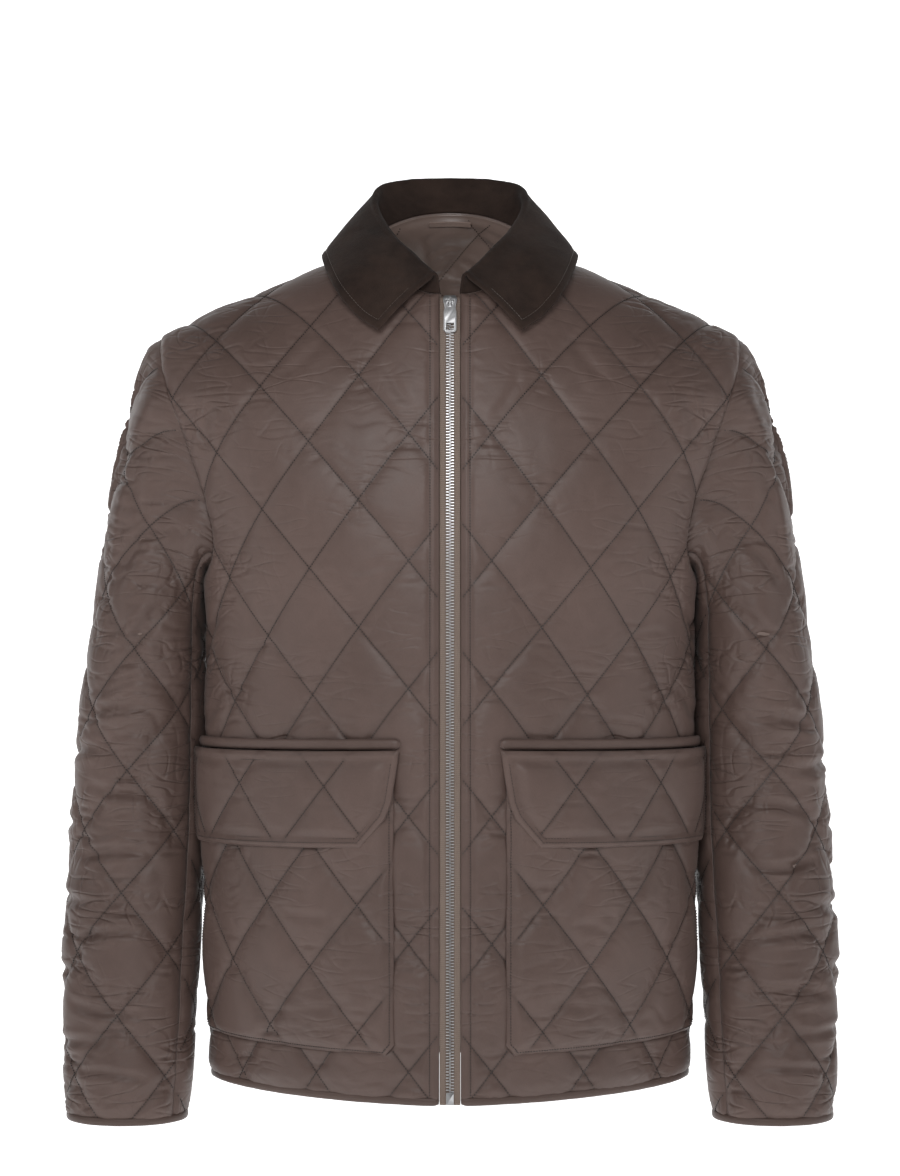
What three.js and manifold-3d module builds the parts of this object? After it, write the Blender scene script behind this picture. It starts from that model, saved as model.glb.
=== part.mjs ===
// A quilted jacket, worn and filled out with no wearer inside. Millimetres, +Z up.
// +X is the wearer's left, -Y is the front. The origin lies between the shoulders, at the height
// where the shoulder seams would meet the neck if they ran straight.
import * as THREE from "three";
import Module from "manifold-3d";
import { mergeVertices } from "three/addons/utils/BufferGeometryUtils.js";

// Driving sizes
const HEM_Z = -711;            // lower edge of the hem binding
const CUFF_Z = -746;           // lower edge of the cuff bindings
const UNDERARM_Z = -275;       // lowest point of the armholes
const SHOULDER_TIP = { x: 251, z: -71 };
const SHOULDER_SLOPE = 0.441;  // drop of the shoulder seam for each millimetre outwards
const NECK_RISE = 30;          // how much the shoulder line curves up to the neck
const NECK_RISE_REACH = 110;   // and how far from the middle that curve begins
const NECK_HALF_WIDTH = 72;    // middle of the body to the neck end of the shoulder seam
const FRONT_NECK_Z = -40;      // neck seam at the zip
const BACK_NECK_Z = 46;        // neck seam at the middle of the back
const RIDGE_BEND = 30;         // the body's top turns level within this distance of the middle
const RIDGE_Y = 8;             // the shoulder seams lie this far behind the middle
const SEAM_GAP = 0.3;          // between two pieces at a seam
const SEAM_THICK = 3;          // a quilted wall at its seams and stitch lines
const QUILT_PUFF = 5;          // how much a diamond stands up between its stitch lines
const PUFF_FADE = 22;          // a diamond flattens this near a seam
const PUFF_ROUNDNESS = 0.6;    // lower is flatter on top and steeper beside the stitches
const PUFF_LEFT = { besideSleeve: 0.1, underArm: 0.15, patchSide: 0.3, flapSide: 0.1 };
const SIDE_FADE = 60;          // the diamonds flatten over this width towards the sleeve
const DIAMOND = { halfWide: 41.5, halfHigh: 52.6, firstU: 34, firstV: -263, sag: 0 };
const FRONT_DIAMOND = { ...DIAMOND, sag: 0.085 };
const SAG_FROM = 50;           // the fronts' stitch lines sag towards the side from here on
const FRONT_EDGE = 8.8;        // middle of the zip to the folded edge of the front
const PLACKET_EDGE = 16.4;     // and to the row of stitches beside it
const BINDING = { high: 7, thick: 4.6, inside: 0.8, turnStep: 10 };

// Body: horizontal sections of the inner face, from hem to shoulder
const BODY_ROWS = [
  { z: -711, halfWidth: 206, middleY: 22, front: 148, back: 104, frontPower: 1.6, backPower: 2.1 },
  { z: -600, halfWidth: 208, middleY: 22, front: 148, back: 104, frontPower: 1.6, backPower: 2.1 },
  { z: -480, halfWidth: 208.5, middleY: 13, front: 139, back: 111, frontPower: 1.65, backPower: 2.1 },
  { z: -370, halfWidth: 208.5, middleY: 8, front: 133, back: 115, frontPower: 1.8, backPower: 2.2 },
  { z: -275, halfWidth: 208.5, middleY: 8, front: 133, back: 115, frontPower: 2.25, backPower: 2.4 },
  { z: -190, halfWidth: 225, middleY: 10, front: 135, back: 113, frontPower: 2.8, backPower: 2.7 },
  { z: -120, halfWidth: 262, middleY: 8, front: 132, back: 115, frontPower: 3.2, backPower: 2.8 },
];
const TOP_ROW_Z = -120;

// Armhole seams as seen from the front, between the shoulder tip and the underarm
const FRONT_ARMHOLE = [
  { x: 246, z: -96 },
  { x: 237, z: -126 },
  { x: 226, z: -150 },
  { x: 217, z: -175 },
  { x: 207, z: -207 },
  { x: 200, z: -237 },
  { x: 202, z: -262 },
];
const BACK_ARMHOLE = [
  { x: 247, z: -98 },
  { x: 238, z: -130 },
  { x: 227, z: -165 },
  { x: 217, z: -200 },
  { x: 207, z: -235 },
  { x: 204, z: -260 },
];

// Sleeve: level rings of the inner face, below the cap
const SLEEVE_ROWS = [
  { z: -746, middleX: 281, middleY: 6, halfWide: 49, halfDeep: 39 },
  { z: -690, middleX: 279.5, middleY: 13, halfWide: 52, halfDeep: 45 },
  { z: -590, middleX: 278, middleY: 27, halfWide: 55, halfDeep: 54 },
  { z: -500, middleX: 273.5, middleY: 37, halfWide: 55, halfDeep: 59 },
  { z: -410, middleX: 269.5, middleY: 38, halfWide: 52.5, halfDeep: 64 },
  { z: -330, middleX: 263.5, middleY: 34, halfWide: 47, halfDeep: 68 },
];
const CAP_FOOT_Z = -330;
const CAP_PULL = { outer: 0.75, inner: 0.64, foot: 0.95 };  // how stiffly the cap leaves its two ends
const SLEEVE_FRONT_SEAM = -145;  // degrees round the sleeve, 0 outermost and -90 at the front
const SLEEVE_BACK_SEAM = 135;
const SLEEVE_DIAMOND_START = { firstU: 6, firstV: -337 };
const UNDERARM_EASE = 6.6;       // room between the folded edges where sleeve and body hang side by side
const SLEEVE_SEAM_GAP = 0.8;
const ARMHOLE_GAP = 0.5;
const ARMHOLE_TURN = [
  { share: 0, degrees: -32 },
  { share: 0.08, degrees: -29 },
  { share: 0.24, degrees: -6 },
  { share: 0.5, degrees: 26 },
  { share: 0.8, degrees: 55 },
  { share: 1, degrees: 88 },
];

// Collar, one half: fold line and leaf edge against the share of the neck seam from back to zip
const COLLAR_ROWS = [
  { share: 0, foldX: 0, foldY: 64, foldZ: 79, edgeX: 0, edgeY: 84, edgeZ: 22 },
  { share: 0.15, foldX: 37, foldY: 58, foldZ: 77, edgeX: 50, edgeY: 76, edgeZ: 17 },
  { share: 0.28, foldX: 60, foldY: 40, foldZ: 70, edgeX: 88, edgeY: 50, edgeZ: 11 },
  { share: 0.4, foldX: 66, foldY: 14, foldZ: 55, edgeX: 107, edgeY: 14, edgeZ: 5 },
  { share: 0.52, foldX: 62, foldY: -10, foldZ: 38, edgeX: 109, edgeY: -26, edgeZ: -3 },
  { share: 0.7, foldX: 48, foldY: -46, foldZ: 14, edgeX: 95, edgeY: -78, edgeZ: -35 },
  { share: 0.87, foldX: 28, foldY: -76, foldZ: -9, edgeX: 77, edgeY: -94, edgeZ: -58 },
  { share: 1, foldX: 13, foldY: -95, foldZ: -24, edgeX: 59, edgeY: -107, edgeZ: -71 },
];
const COLLAR = {
  thick: 2.4, seamReach: 1.5, seamLift: -0.2, foldRadius: 2.6, leafBulge: 5, bulgeFade: 0.6, bulgeRise: 0.6,
  halfStations: 13,
};

// Pockets, measured on the flat front: u round the body from its middle, v up
const POCKET = {
  patchLift: 5.5, flapLift: 11.5, weltLift: 5.4, flapThick: 2.6, flapPuff: 3.5, bulge: 6, bulgeFromU: 46,
  bulgeWide: 215, bulgeFromV: -671, bulgeHigh: 240, bulgeSlack: 0.7, flapBulgeV: -431, sideU: 262, coveredV: -505,
};
const UNDER_POCKET = { fromU: 36, toU: 268, fromV: -674, toV: -388 };
const PATCH_DIAMOND = { ...DIAMOND, firstU: 75.5, firstV: -547 };
const FLAP_DIAMOND = { ...DIAMOND, firstU: 102, firstV: -449 };
const PATCH_OUTLINE = [
  { u: 46, v: -430 }, { u: 45.5, v: -662 }, { u: 53, v: -671 }, { u: 251, v: -668 },
  { u: 258, v: -660 }, { u: 258, v: -433 },
];
const FLAP_OUTLINE = [
  { u: 39.5, v: -418.6 }, { u: 42.5, v: -440 }, { u: 46, v: -462 }, { u: 51, v: -475 },
  { u: 71, v: -499 }, { u: 249, v: -503 }, { u: 259, v: -490 }, { u: 260, v: -422.6 },
];
const WELT = { fromU: 40, toU: 259, innerV: -418.2, outerV: -422.2, high: 9.2, thick: 5.2 };

// Zip, on the line of the front edges
const ZIP = {
  tapeFrom: 3.45, tapeTo: 8.4, tapeThick: 1.1, tapeLift: 0.4, chainHalf: 3.1, chainThick: 2.7,
  chainLift: -0.4, topZ: -43, step: 26, bottomRise: 1,
};
const SLIDER = { length: 12.5, topHalf: 5.9, topEnd: 0.8, bottomHalf: 4.4, waist: 0.4, thick: 3.4, lift: 1.8 };
const BAIL = { halfLength: 3.6, wall: 1.2, halfWidth: 1.2, sunk: 0.6, hingeLift: 2, arch: 1.6, corner: 0.55 };
const PULL = {
  length: 27, topHalf: 3.3, neckHalf: 3.7, neckDrop: 3, halfWidth: 5.3, shoulder: 9, corner: 1.6, thick: 1.7,
  slotHalf: 1.8, slotEnd: 5.3, windowHalf: 3.1, windowHigh: 6, windowDrop: 18.9, lean: 8,
};
const ZIP_BOX = { length: 10, thick: 4.2, lift: -1.1 };
const HANGER = { halfLength: 21, high: 5.5, thick: 1.2, lift: -7.1, drop: 4, step: 7 };
const LINING = { thick: 1.4, lift: -5.4, lowestV: -70, halfWidth: 84, inset: 3 };

// Finishes
function finish(color, roughness, metalness) {
  return new THREE.MeshStandardMaterial({ color, roughness, metalness, side: THREE.FrontSide });
}
const SHELL_CLOTH = finish(0x5c4e45, 0.55, 0);
const POCKET_CLOTH = finish(0x5e5047, 0.55, 0);
const COLLAR_CLOTH = finish(0x382e2a, 0.9, 0);
const LINING_CLOTH = finish(0x4c4039, 0.4, 0);
const BINDING_CLOTH = finish(0x5a4c43, 0.6, 0);
const TAPE_CLOTH = finish(0x73675c, 0.8, 0);
const ZIP_METAL = finish(0xb9babc, 0.3, 1);

// Small vector and curve helpers
const plus = (a, b, k = 1) => a.map((value, i) => value + b[i] * k);
const minus = (a, b) => a.map((value, i) => value - b[i]);
const cross = (a, b) => [a[1] * b[2] - a[2] * b[1], a[2] * b[0] - a[0] * b[2], a[0] * b[1] - a[1] * b[0]];
const size = (a) => Math.hypot(...a);
const unit = (a) => a.map((value) => value / size(a));
const mix = (a, b, t) => a + (b - a) * t;
const mixPoint = (a, b, t) => a.map((value, i) => mix(value, b[i], t));
const radians = THREE.MathUtils.degToRad;
const fade = (value, reach) => THREE.MathUtils.smoothstep(value, 0, reach);

// A smooth curve through the rows of a table, for every column at once
function through(rows, key) {
  const columns = Object.keys(rows[0]).filter((name) => name !== key);
  const slope = (i, name) => {
    const before = rows[Math.max(i - 1, 0)];
    const after = rows[Math.min(i + 1, rows.length - 1)];
    return (after[name] - before[name]) / (after[key] - before[key]);
  };
  return (value) => {
    const at = Math.min(Math.max(value, rows[0][key]), rows.at(-1)[key]);
    const i = Math.min(Math.max(rows.findIndex((row) => row[key] > at), 1), rows.length - 1);
    const step = at >= rows.at(-1)[key] ? rows.length - 1 : i;
    const [low, high] = [rows[step - 1], rows[step]];
    const span = high[key] - low[key];
    const t = (at - low[key]) / span;
    const result = { [key]: at };
    for (const name of columns) {
      result[name] = (2 * t ** 3 - 3 * t ** 2 + 1) * low[name] + (3 * t ** 2 - 2 * t ** 3) * high[name]
        + (t ** 3 - 2 * t ** 2 + t) * span * slope(step - 1, name)
        + (t ** 3 - t ** 2) * span * slope(step, name);
    }
    return result;
  };
}

// Body surface: u runs round the body from its middle line, v runs up its surface
const FRONT = "front";
const BACK = "back";
const bodyRow = through(BODY_ROWS, "z");
const SECTION_STEPS = 60;

function sectionPoint(row, face, turn) {
  const power = face === FRONT ? row.frontPower : row.backPower;
  const depth = face === FRONT ? -row.front : row.back;
  const across = Math.sin(turn) ** (2 / power);
  return [row.halfWidth * across, row.middleY + depth * Math.max(Math.cos(turn), 0) ** (2 / power)];
}

function section(row, face) {
  const points = [];
  let arc = 0;
  for (let i = 0; i <= SECTION_STEPS; i++) {
    const turn = (Math.PI / 4) * (1 - Math.cos((Math.PI * i) / SECTION_STEPS));
    const [x, y] = sectionPoint(row, face, turn);
    if (i > 0) arc += Math.hypot(x - points[i - 1].x, y - points[i - 1].y);
    points.push({ x, y, arc });
  }
  return points;
}

function readTable(points, key, value) {
  let i = points.findIndex((point) => point[key] >= value);
  if (i < 0) i = points.length - 1;
  i = Math.max(i, 1);
  const [a, b] = [points[i - 1], points[i]];
  const t = (value - a[key]) / Math.max(b[key] - a[key], 1e-9);
  return { x: mix(a.x, b.x, t), y: mix(a.y, b.y, t), arc: mix(a.arc, b.arc, t) };
}

function ridgeZ(x) {
  const near = Math.max(0, 1 - (x / NECK_RISE_REACH) ** 2);
  const out = x < RIDGE_BEND ? RIDGE_BEND / 2 + x ** 2 / (2 * RIDGE_BEND) : x;
  return SHOULDER_TIP.z + (SHOULDER_TIP.x - out) * SHOULDER_SLOPE + NECK_RISE * near ** 2;
}

const TURN_STEP = Math.PI / 120;
const MOST_TURN = Math.PI * 0.62;
function quarterArc(turn, rise, run) {
  let arc = 0;
  const steps = Math.max(1, Math.ceil(turn / TURN_STEP));
  for (let i = 0; i < steps; i++) {
    const middle = (turn * (i + 0.5)) / steps;
    arc += Math.hypot(rise * Math.cos(middle), run * Math.sin(middle)) * (turn / steps);
  }
  return arc;
}

function turnAtArc(arc, rise, run) {
  let covered = 0;
  let turn = 0;
  for (;;) {
    const step = Math.hypot(rise * Math.cos(turn + TURN_STEP / 2), run * Math.sin(turn + TURN_STEP / 2)) * TURN_STEP;
    if (covered + step >= arc || turn > MOST_TURN) return turn + (TURN_STEP * (arc - covered)) / step;
    covered += step;
    turn += TURN_STEP;
  }
}

function bodyPoint(face, u, v) {
  const row = bodyRow(Math.min(v, TOP_ROW_Z));
  const point = readTable(section(row, face), "arc", Math.abs(u));
  const side = face === FRONT ? Math.sign(u) : -Math.sign(u);
  if (v <= UNDERARM_Z) return [side * point.x, point.y, v];
  const rise = ridgeZ(point.x) - UNDERARM_Z;
  const run = point.y - RIDGE_Y;
  const turn = turnAtArc(v - UNDERARM_Z, rise, Math.abs(run));
  return [side * point.x, RIDGE_Y + run * Math.cos(turn), UNDERARM_Z + rise * Math.sin(turn)];
}

const NORMAL_STEP = 2.5;
function surfaceNormal(surface, u, v) {
  const du = minus(surface(u + NORMAL_STEP, v), surface(u - NORMAL_STEP, v));
  const dv = minus(surface(u, v + NORMAL_STEP), surface(u, v - NORMAL_STEP));
  return unit(cross(du, dv));
}

// The place on the flat body of a point that is known by its x and z
function locate(face, x, z) {
  let v = z;
  let row = bodyRow(Math.min(v, TOP_ROW_Z));
  for (let pass = 0; pass < 8 && z > UNDERARM_Z; pass++) {
    const rise = ridgeZ(x) - UNDERARM_Z;
    const run = Math.abs(readTable(section(row, face), "x", x).y - RIDGE_Y);
    const turn = Math.asin(Math.min(1, (z - UNDERARM_Z) / rise));
    v = UNDERARM_Z + quarterArc(turn, rise, run);
    row = bodyRow(Math.min(v, TOP_ROW_Z));
  }
  return [readTable(section(row, face), "x", x).arc, v];
}

function sideSeamU(face, v) {
  return section(bodyRow(Math.min(v, TOP_ROW_Z)), face).at(-1).arc;
}

// Outlines are lists of [u, v]
const OUTLINE_STEP = 19;
function resample(points, step = OUTLINE_STEP) {
  const lengths = [0];
  for (let i = 1; i < points.length; i++) lengths.push(lengths[i - 1] + size(minus(points[i], points[i - 1])));
  const count = Math.max(1, Math.round(lengths.at(-1) / step));
  const result = [];
  for (let k = 0; k <= count; k++) {
    const at = (lengths.at(-1) * k) / count;
    let i = lengths.findIndex((length) => length >= at - 1e-9);
    i = Math.max(i, 1);
    result.push(mixPoint(points[i - 1], points[i], (at - lengths[i - 1]) / (lengths[i] - lengths[i - 1])));
  }
  return result;
}

function smoothLine(points, samples = 12) {
  const curve = new THREE.CatmullRomCurve3(points.map(([u, v]) => new THREE.Vector3(u, v, 0)), false, "centripetal");
  return curve.getPoints(samples * points.length).map((point) => [point.x, point.y]);
}

const joinLines = (...lines) => lines.flatMap((line) => line.slice(0, -1));

function edgeNormals(outline) {
  return outline.map((point, i) => {
    const before = outline[(i + outline.length - 1) % outline.length];
    const after = outline[(i + 1) % outline.length];
    const [a, b] = [unit(minus(point, before)), unit(minus(after, point))];
    const inward = unit([-(a[1] + b[1]), a[0] + b[0]]);
    const spread = Math.max(0.5, -a[1] * inward[0] + a[0] * inward[1]);
    return inward.map((value) => value / spread);
  });
}

const inset = (outline, gap) => {
  const normals = edgeNormals(outline);
  return outline.map((point, i) => plus(point, normals[i], gap));
};

function edgeDistance(point, outline) {
  let nearest = Infinity;
  for (let i = 0; i < outline.length; i++) {
    const [a, b] = [outline[i], outline[(i + 1) % outline.length]];
    const along = minus(b, a);
    const away = minus(point, a);
    const t = Math.min(1, Math.max(0, (away[0] * along[0] + away[1] * along[1]) / (along[0] ** 2 + along[1] ** 2)));
    nearest = Math.min(nearest, size(minus(point, plus(a, along, t))));
  }
  return nearest;
}

function isInside(point, outline) {
  let inside = false;
  for (let i = 0, j = outline.length - 1; i < outline.length; j = i++) {
    const [a, b] = [outline[i], outline[j]];
    if (a[1] > point[1] === b[1] > point[1]) continue;
    if (point[0] < ((b[0] - a[0]) * (point[1] - a[1])) / (b[1] - a[1]) + a[0]) inside = !inside;
  }
  return inside;
}

// Triangles over an outline and the points inside it, each triangle as free of long edges as can be
function triangulate(outline, inner) {
  const points = [...outline, ...inner];
  const far = 1e5;
  const corners = [[-far, -far], [far, -far], [0, far]];
  const all = [...points, ...corners];
  const circle = (a, b, c) => {
    const [p, q, r] = [all[a], all[b], all[c]];
    const d = 2 * (p[0] * (q[1] - r[1]) + q[0] * (r[1] - p[1]) + r[0] * (p[1] - q[1]));
    const [pp, qq, rr] = [p, q, r].map((s) => s[0] ** 2 + s[1] ** 2);
    const x = (pp * (q[1] - r[1]) + qq * (r[1] - p[1]) + rr * (p[1] - q[1])) / d;
    const y = (pp * (r[0] - q[0]) + qq * (p[0] - r[0]) + rr * (q[0] - p[0])) / d;
    return { corners: [a, b, c], x, y, reach: (p[0] - x) ** 2 + (p[1] - y) ** 2 };
  };
  let triangles = [circle(points.length, points.length + 1, points.length + 2)];
  points.forEach((point, index) => {
    const edges = new Map();
    triangles = triangles.filter((triangle) => {
      if ((point[0] - triangle.x) ** 2 + (point[1] - triangle.y) ** 2 > triangle.reach * (1 + 1e-12)) return true;
      const [a, b, c] = triangle.corners;
      for (const [from, to] of [[a, b], [b, c], [c, a]]) {
        if (!edges.delete(`${to},${from}`)) edges.set(`${from},${to}`, [from, to]);
      }
      return false;
    });
    for (const [from, to] of edges.values()) triangles.push(circle(from, to, index));
  });
  return triangles.map((triangle) => triangle.corners).filter((corner) => {
    if (corner.some((index) => index >= points.length)) return false;
    const middle = corner.reduce((sum, index) => plus(sum, points[index], 1 / 3), [0, 0]);
    return isInside(middle, outline);
  });
}

function checkOutline(name, outline, triangles) {
  const edges = new Set(triangles.flatMap(([a, b, c]) => [`${a},${b}`, `${b},${c}`, `${c},${a}`]));
  outline.forEach((point, i) => {
    const next = (i + 1) % outline.length;
    if (!edges.has(`${i},${next}`)) throw new Error(`${name}: edge ${i} at ${point} is not covered`);
  });
}

// Quilting: a diamond grid, its lines where p or q is whole
const sagAt = (u, grid) => grid.sag * Math.max(0, u - SAG_FROM);

function latticeOf(u, v, grid) {
  const [across, up] = [(u - grid.firstU) / grid.halfWide, (v + sagAt(u, grid) - grid.firstV) / grid.halfHigh];
  return [(across + up) / 2, (up - across) / 2];
}

function puffAt(u, v, grid) {
  const [p, q] = latticeOf(u, v, grid);
  return (Math.abs(Math.sin(Math.PI * p)) * Math.abs(Math.sin(Math.PI * q))) ** PUFF_ROUNDNESS;
}

const FAR_DIAMONDS = 24;
function latticePoints(outline, grid, parts, clearance) {
  const us = outline.map((point) => point[0]);
  const vs = outline.map((point) => point[1]);
  const [lowU, highU, lowV, highV] = [Math.min(...us), Math.max(...us), Math.min(...vs), Math.max(...vs)];
  const points = [];
  const reach = Math.ceil((highU - lowU + highV - lowV) / grid.halfWide + FAR_DIAMONDS) * parts;
  for (let i = -reach; i <= reach; i++) {
    for (let j = -reach; j <= reach; j++) {
      const u = grid.firstU + (grid.halfWide * (i - j)) / parts;
      const v = grid.firstV + (grid.halfHigh * (i + j)) / parts - sagAt(u, grid);
      if (u < lowU || u > highU || v < lowV || v > highV) continue;
      if (isInside([u, v], outline) && edgeDistance([u, v], outline) > clearance) points.push([u, v]);
    }
  }
  return points;
}

const FINE_FACE = { parts: 3, clearance: 10.5 };
const PLAIN_FACE = { parts: 2, clearance: 13 };

// A closed wall over an outline: a plain inner face and an outer face raised into diamonds
function quiltedWall(name, { surface, outline, grid, lift = () => 0, thick = SEAM_THICK, puff, fineInside = false }) {
  const inside = fineInside ? FINE_FACE : PLAIN_FACE;
  const outerPoints = latticePoints(outline, grid, FINE_FACE.parts, FINE_FACE.clearance);
  const innerPoints = latticePoints(outline, grid, inside.parts, inside.clearance);
  const outerTriangles = triangulate(outline, outerPoints);
  const innerTriangles = triangulate(outline, innerPoints);
  checkOutline(name, outline, outerTriangles);
  checkOutline(name, outline, innerTriangles);
  const place = ([u, v], raise) => plus(surface(u, v), surfaceNormal(surface, u, v), raise);
  const positions = [];
  for (const point of outline) positions.push(place(point, lift(...point) + thick));
  for (const point of outerPoints) {
    const raised = puff(...point) * puffAt(...point, grid) * fade(edgeDistance(point, outline), PUFF_FADE);
    positions.push(place(point, lift(...point) + thick + raised));
  }
  const innerStart = positions.length;
  for (const point of [...outline, ...innerPoints]) positions.push(place(point, lift(...point)));
  const faces = [...outerTriangles];
  for (const [a, b, c] of innerTriangles) faces.push([a, c, b].map((index) => index + innerStart));
  outline.forEach((point, i) => {
    const next = (i + 1) % outline.length;
    faces.push([i, innerStart + i, innerStart + next], [i, innerStart + next, next]);
  });
  return { positions, faces };
}

// A closed wall from a grid of points, its thickness laid from `inner` to `outer` along the normals
function gridWall(rows, { inner, outer, closed = false }) {
  const [count, width] = [rows.length, rows[0].length];
  const normalAt = (i, j) => {
    const before = closed ? (i + count - 1) % count : Math.max(i - 1, 0);
    const after = closed ? (i + 1) % count : Math.min(i + 1, count - 1);
    const along = minus(rows[after][j], rows[before][j]);
    const up = minus(rows[i][Math.min(j + 1, width - 1)], rows[i][Math.max(j - 1, 0)]);
    return unit(cross(along, up));
  };
  const positions = [];
  for (const raise of [outer, inner]) {
    rows.forEach((row, i) => row.forEach((point, j) => positions.push(plus(point, normalAt(i, j), raise))));
  }
  const layer = count * width;
  const at = (i, j, k) => k * layer + (i % count) * width + j;
  const faces = [];
  const quad = (a, b, c, d) => faces.push([a, b, c], [a, c, d]);
  const last = closed ? count : count - 1;
  for (let i = 0; i < last; i++) {
    for (let j = 0; j < width - 1; j++) {
      quad(at(i, j, 0), at(i + 1, j, 0), at(i + 1, j + 1, 0), at(i, j + 1, 0));
      quad(at(i, j, 1), at(i, j + 1, 1), at(i + 1, j + 1, 1), at(i + 1, j, 1));
    }
    quad(at(i, 0, 0), at(i, 0, 1), at(i + 1, 0, 1), at(i + 1, 0, 0));
    quad(at(i, width - 1, 0), at(i + 1, width - 1, 0), at(i + 1, width - 1, 1), at(i, width - 1, 1));
  }
  if (!closed) {
    for (let j = 0; j < width - 1; j++) {
      quad(at(0, j, 0), at(0, j + 1, 0), at(0, j + 1, 1), at(0, j, 1));
      quad(at(count - 1, j, 0), at(count - 1, j, 1), at(count - 1, j + 1, 1), at(count - 1, j + 1, 0));
    }
  }
  return { positions, faces };
}

function mirrored({ positions, faces }) {
  return { positions: positions.map(([x, y, z]) => [-x, y, z]), faces: faces.map(([a, b, c]) => [a, c, b]) };
}

const jacket = new THREE.Group();
jacket.name = "quilted_jacket";

function addSolid(name, { positions, faces }, material) {
  const geometry = new THREE.BufferGeometry();
  geometry.setAttribute("position", new THREE.Float32BufferAttribute(positions.flat(), 3));
  geometry.setIndex(faces.flat());
  geometry.computeVertexNormals();
  const mesh = new THREE.Mesh(geometry, material);
  mesh.name = name;
  jacket.add(mesh);
}

function addPair(stem, tail, solid, material) {
  addSolid(`${stem}_left${tail}`, solid, material);
  addSolid(`${stem}_right${tail}`, mirrored(solid), material);
}

// Seams shared by the body pieces
const panelBottomV = HEM_Z + BINDING.high + SEAM_GAP;
const neckTop = { x: NECK_HALF_WIDTH, z: ridgeZ(NECK_HALF_WIDTH) };

const NECK_STEPS = 24;
const NECK_STEP = 14;
const SHOULDER_STEPS = 10;
const ARMHOLE_STEP = 17;

function neckLine(face) {
  const fromU = face === FRONT ? FRONT_EDGE : 0;
  const [topU, topV] = locate(face, neckTop.x, neckTop.z);
  const lowV = face === FRONT ? locate(face, FRONT_EDGE, FRONT_NECK_Z)[1] : locate(face, 0, BACK_NECK_Z)[1];
  const line = [];
  for (let i = 0; i <= NECK_STEPS; i++) {
    const turn = (Math.PI * i) / (2 * NECK_STEPS);
    line.push([mix(fromU, topU, Math.sin(turn)), mix(lowV, topV, 1 - Math.cos(turn))]);
  }
  return resample(line, NECK_STEP);
}

function shoulderLine(face) {
  const line = [];
  for (let i = 0; i <= SHOULDER_STEPS; i++) {
    const x = mix(NECK_HALF_WIDTH, SHOULDER_TIP.x, i / SHOULDER_STEPS);
    line.push(locate(face, x, ridgeZ(x)));
  }
  return line;
}

function armholeLine(face) {
  const rows = face === FRONT ? FRONT_ARMHOLE : BACK_ARMHOLE;
  const line = [locate(face, SHOULDER_TIP.x, ridgeZ(SHOULDER_TIP.x))];
  for (const { x, z } of rows) line.push(locate(face, x, z));
  line.push([sideSeamU(face, UNDERARM_Z), UNDERARM_Z]);
  return resample(smoothLine(line), ARMHOLE_STEP);
}

function sideLine(face) {
  const line = [];
  const count = Math.round((UNDERARM_Z - panelBottomV) / OUTLINE_STEP);
  for (let i = 0; i <= count; i++) {
    const v = mix(UNDERARM_Z, panelBottomV, i / count);
    line.push([sideSeamU(face, v), v]);
  }
  return line;
}

// One half of a body piece, clockwise from the middle of its neck to the middle of its hem
function halfOutline(face) {
  const innerU = face === FRONT ? FRONT_EDGE : 0;
  const hem = resample([[sideSeamU(face, panelBottomV), panelBottomV], [innerU, panelBottomV]]);
  const lines = [neckLine(face), shoulderLine(face), armholeLine(face), sideLine(face)];
  return [...joinLines(...lines), ...hem];
}

const frontSurface = (u, v) => bodyPoint(FRONT, u, v);
const backSurface = (u, v) => bodyPoint(BACK, u, v);

function underPocket(u, v) {
  const { fromU, toU, fromV, toV } = UNDER_POCKET;
  return u > fromU && u < toU && v > fromV && v < toV;
}

// Fronts, with a plain folded placket beside the zip
const frontLine = halfOutline(FRONT);
const frontEdge = resample([frontLine.at(-1), frontLine[0]]);
const frontOutline = inset([...frontLine, ...frontEdge.slice(1, -1)].reverse(), SEAM_GAP / 2);
const frontPuff = (u, v) => {
  if (u < PLACKET_EDGE || underPocket(u, v)) return 0;
  const besideSleeve = v < UNDERARM_Z ? fade(sideSeamU(FRONT, v) - u, SIDE_FADE) : 1;
  return QUILT_PUFF * mix(PUFF_LEFT.besideSleeve, 1, besideSleeve);
};
const front = quiltedWall("front", {
  surface: frontSurface,
  outline: frontOutline,
  grid: FRONT_DIAMOND,
  puff: frontPuff,
});
addPair("front", "", front, SHELL_CLOTH);

// Back, in one piece across the middle
const BACK_DIAMOND = { ...DIAMOND, firstU: 0 };
const backHalf = halfOutline(BACK);
const backOtherHalf = backHalf.slice(1, -1).map(([u, v]) => [-u, v]).reverse();
const backOutline = inset([...backHalf, ...backOtherHalf].reverse(), SEAM_GAP / 2);
const backPuff = (u, v) => {
  const besideSleeve = v < UNDERARM_Z ? fade(sideSeamU(BACK, v) - Math.abs(u), SIDE_FADE) : 1;
  return QUILT_PUFF * mix(PUFF_LEFT.besideSleeve, 1, besideSleeve);
};
const back = quiltedWall("back", { surface: backSurface, outline: backOutline, grid: BACK_DIAMOND, puff: backPuff });
addSolid("back", back, SHELL_CLOTH);

// Sleeves: each starts square to the edge of its armhole and turns down into level rings
const sleeveRow = through(SLEEVE_ROWS, "z");
const armholeTurn = through(ARMHOLE_TURN, "share");

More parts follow.
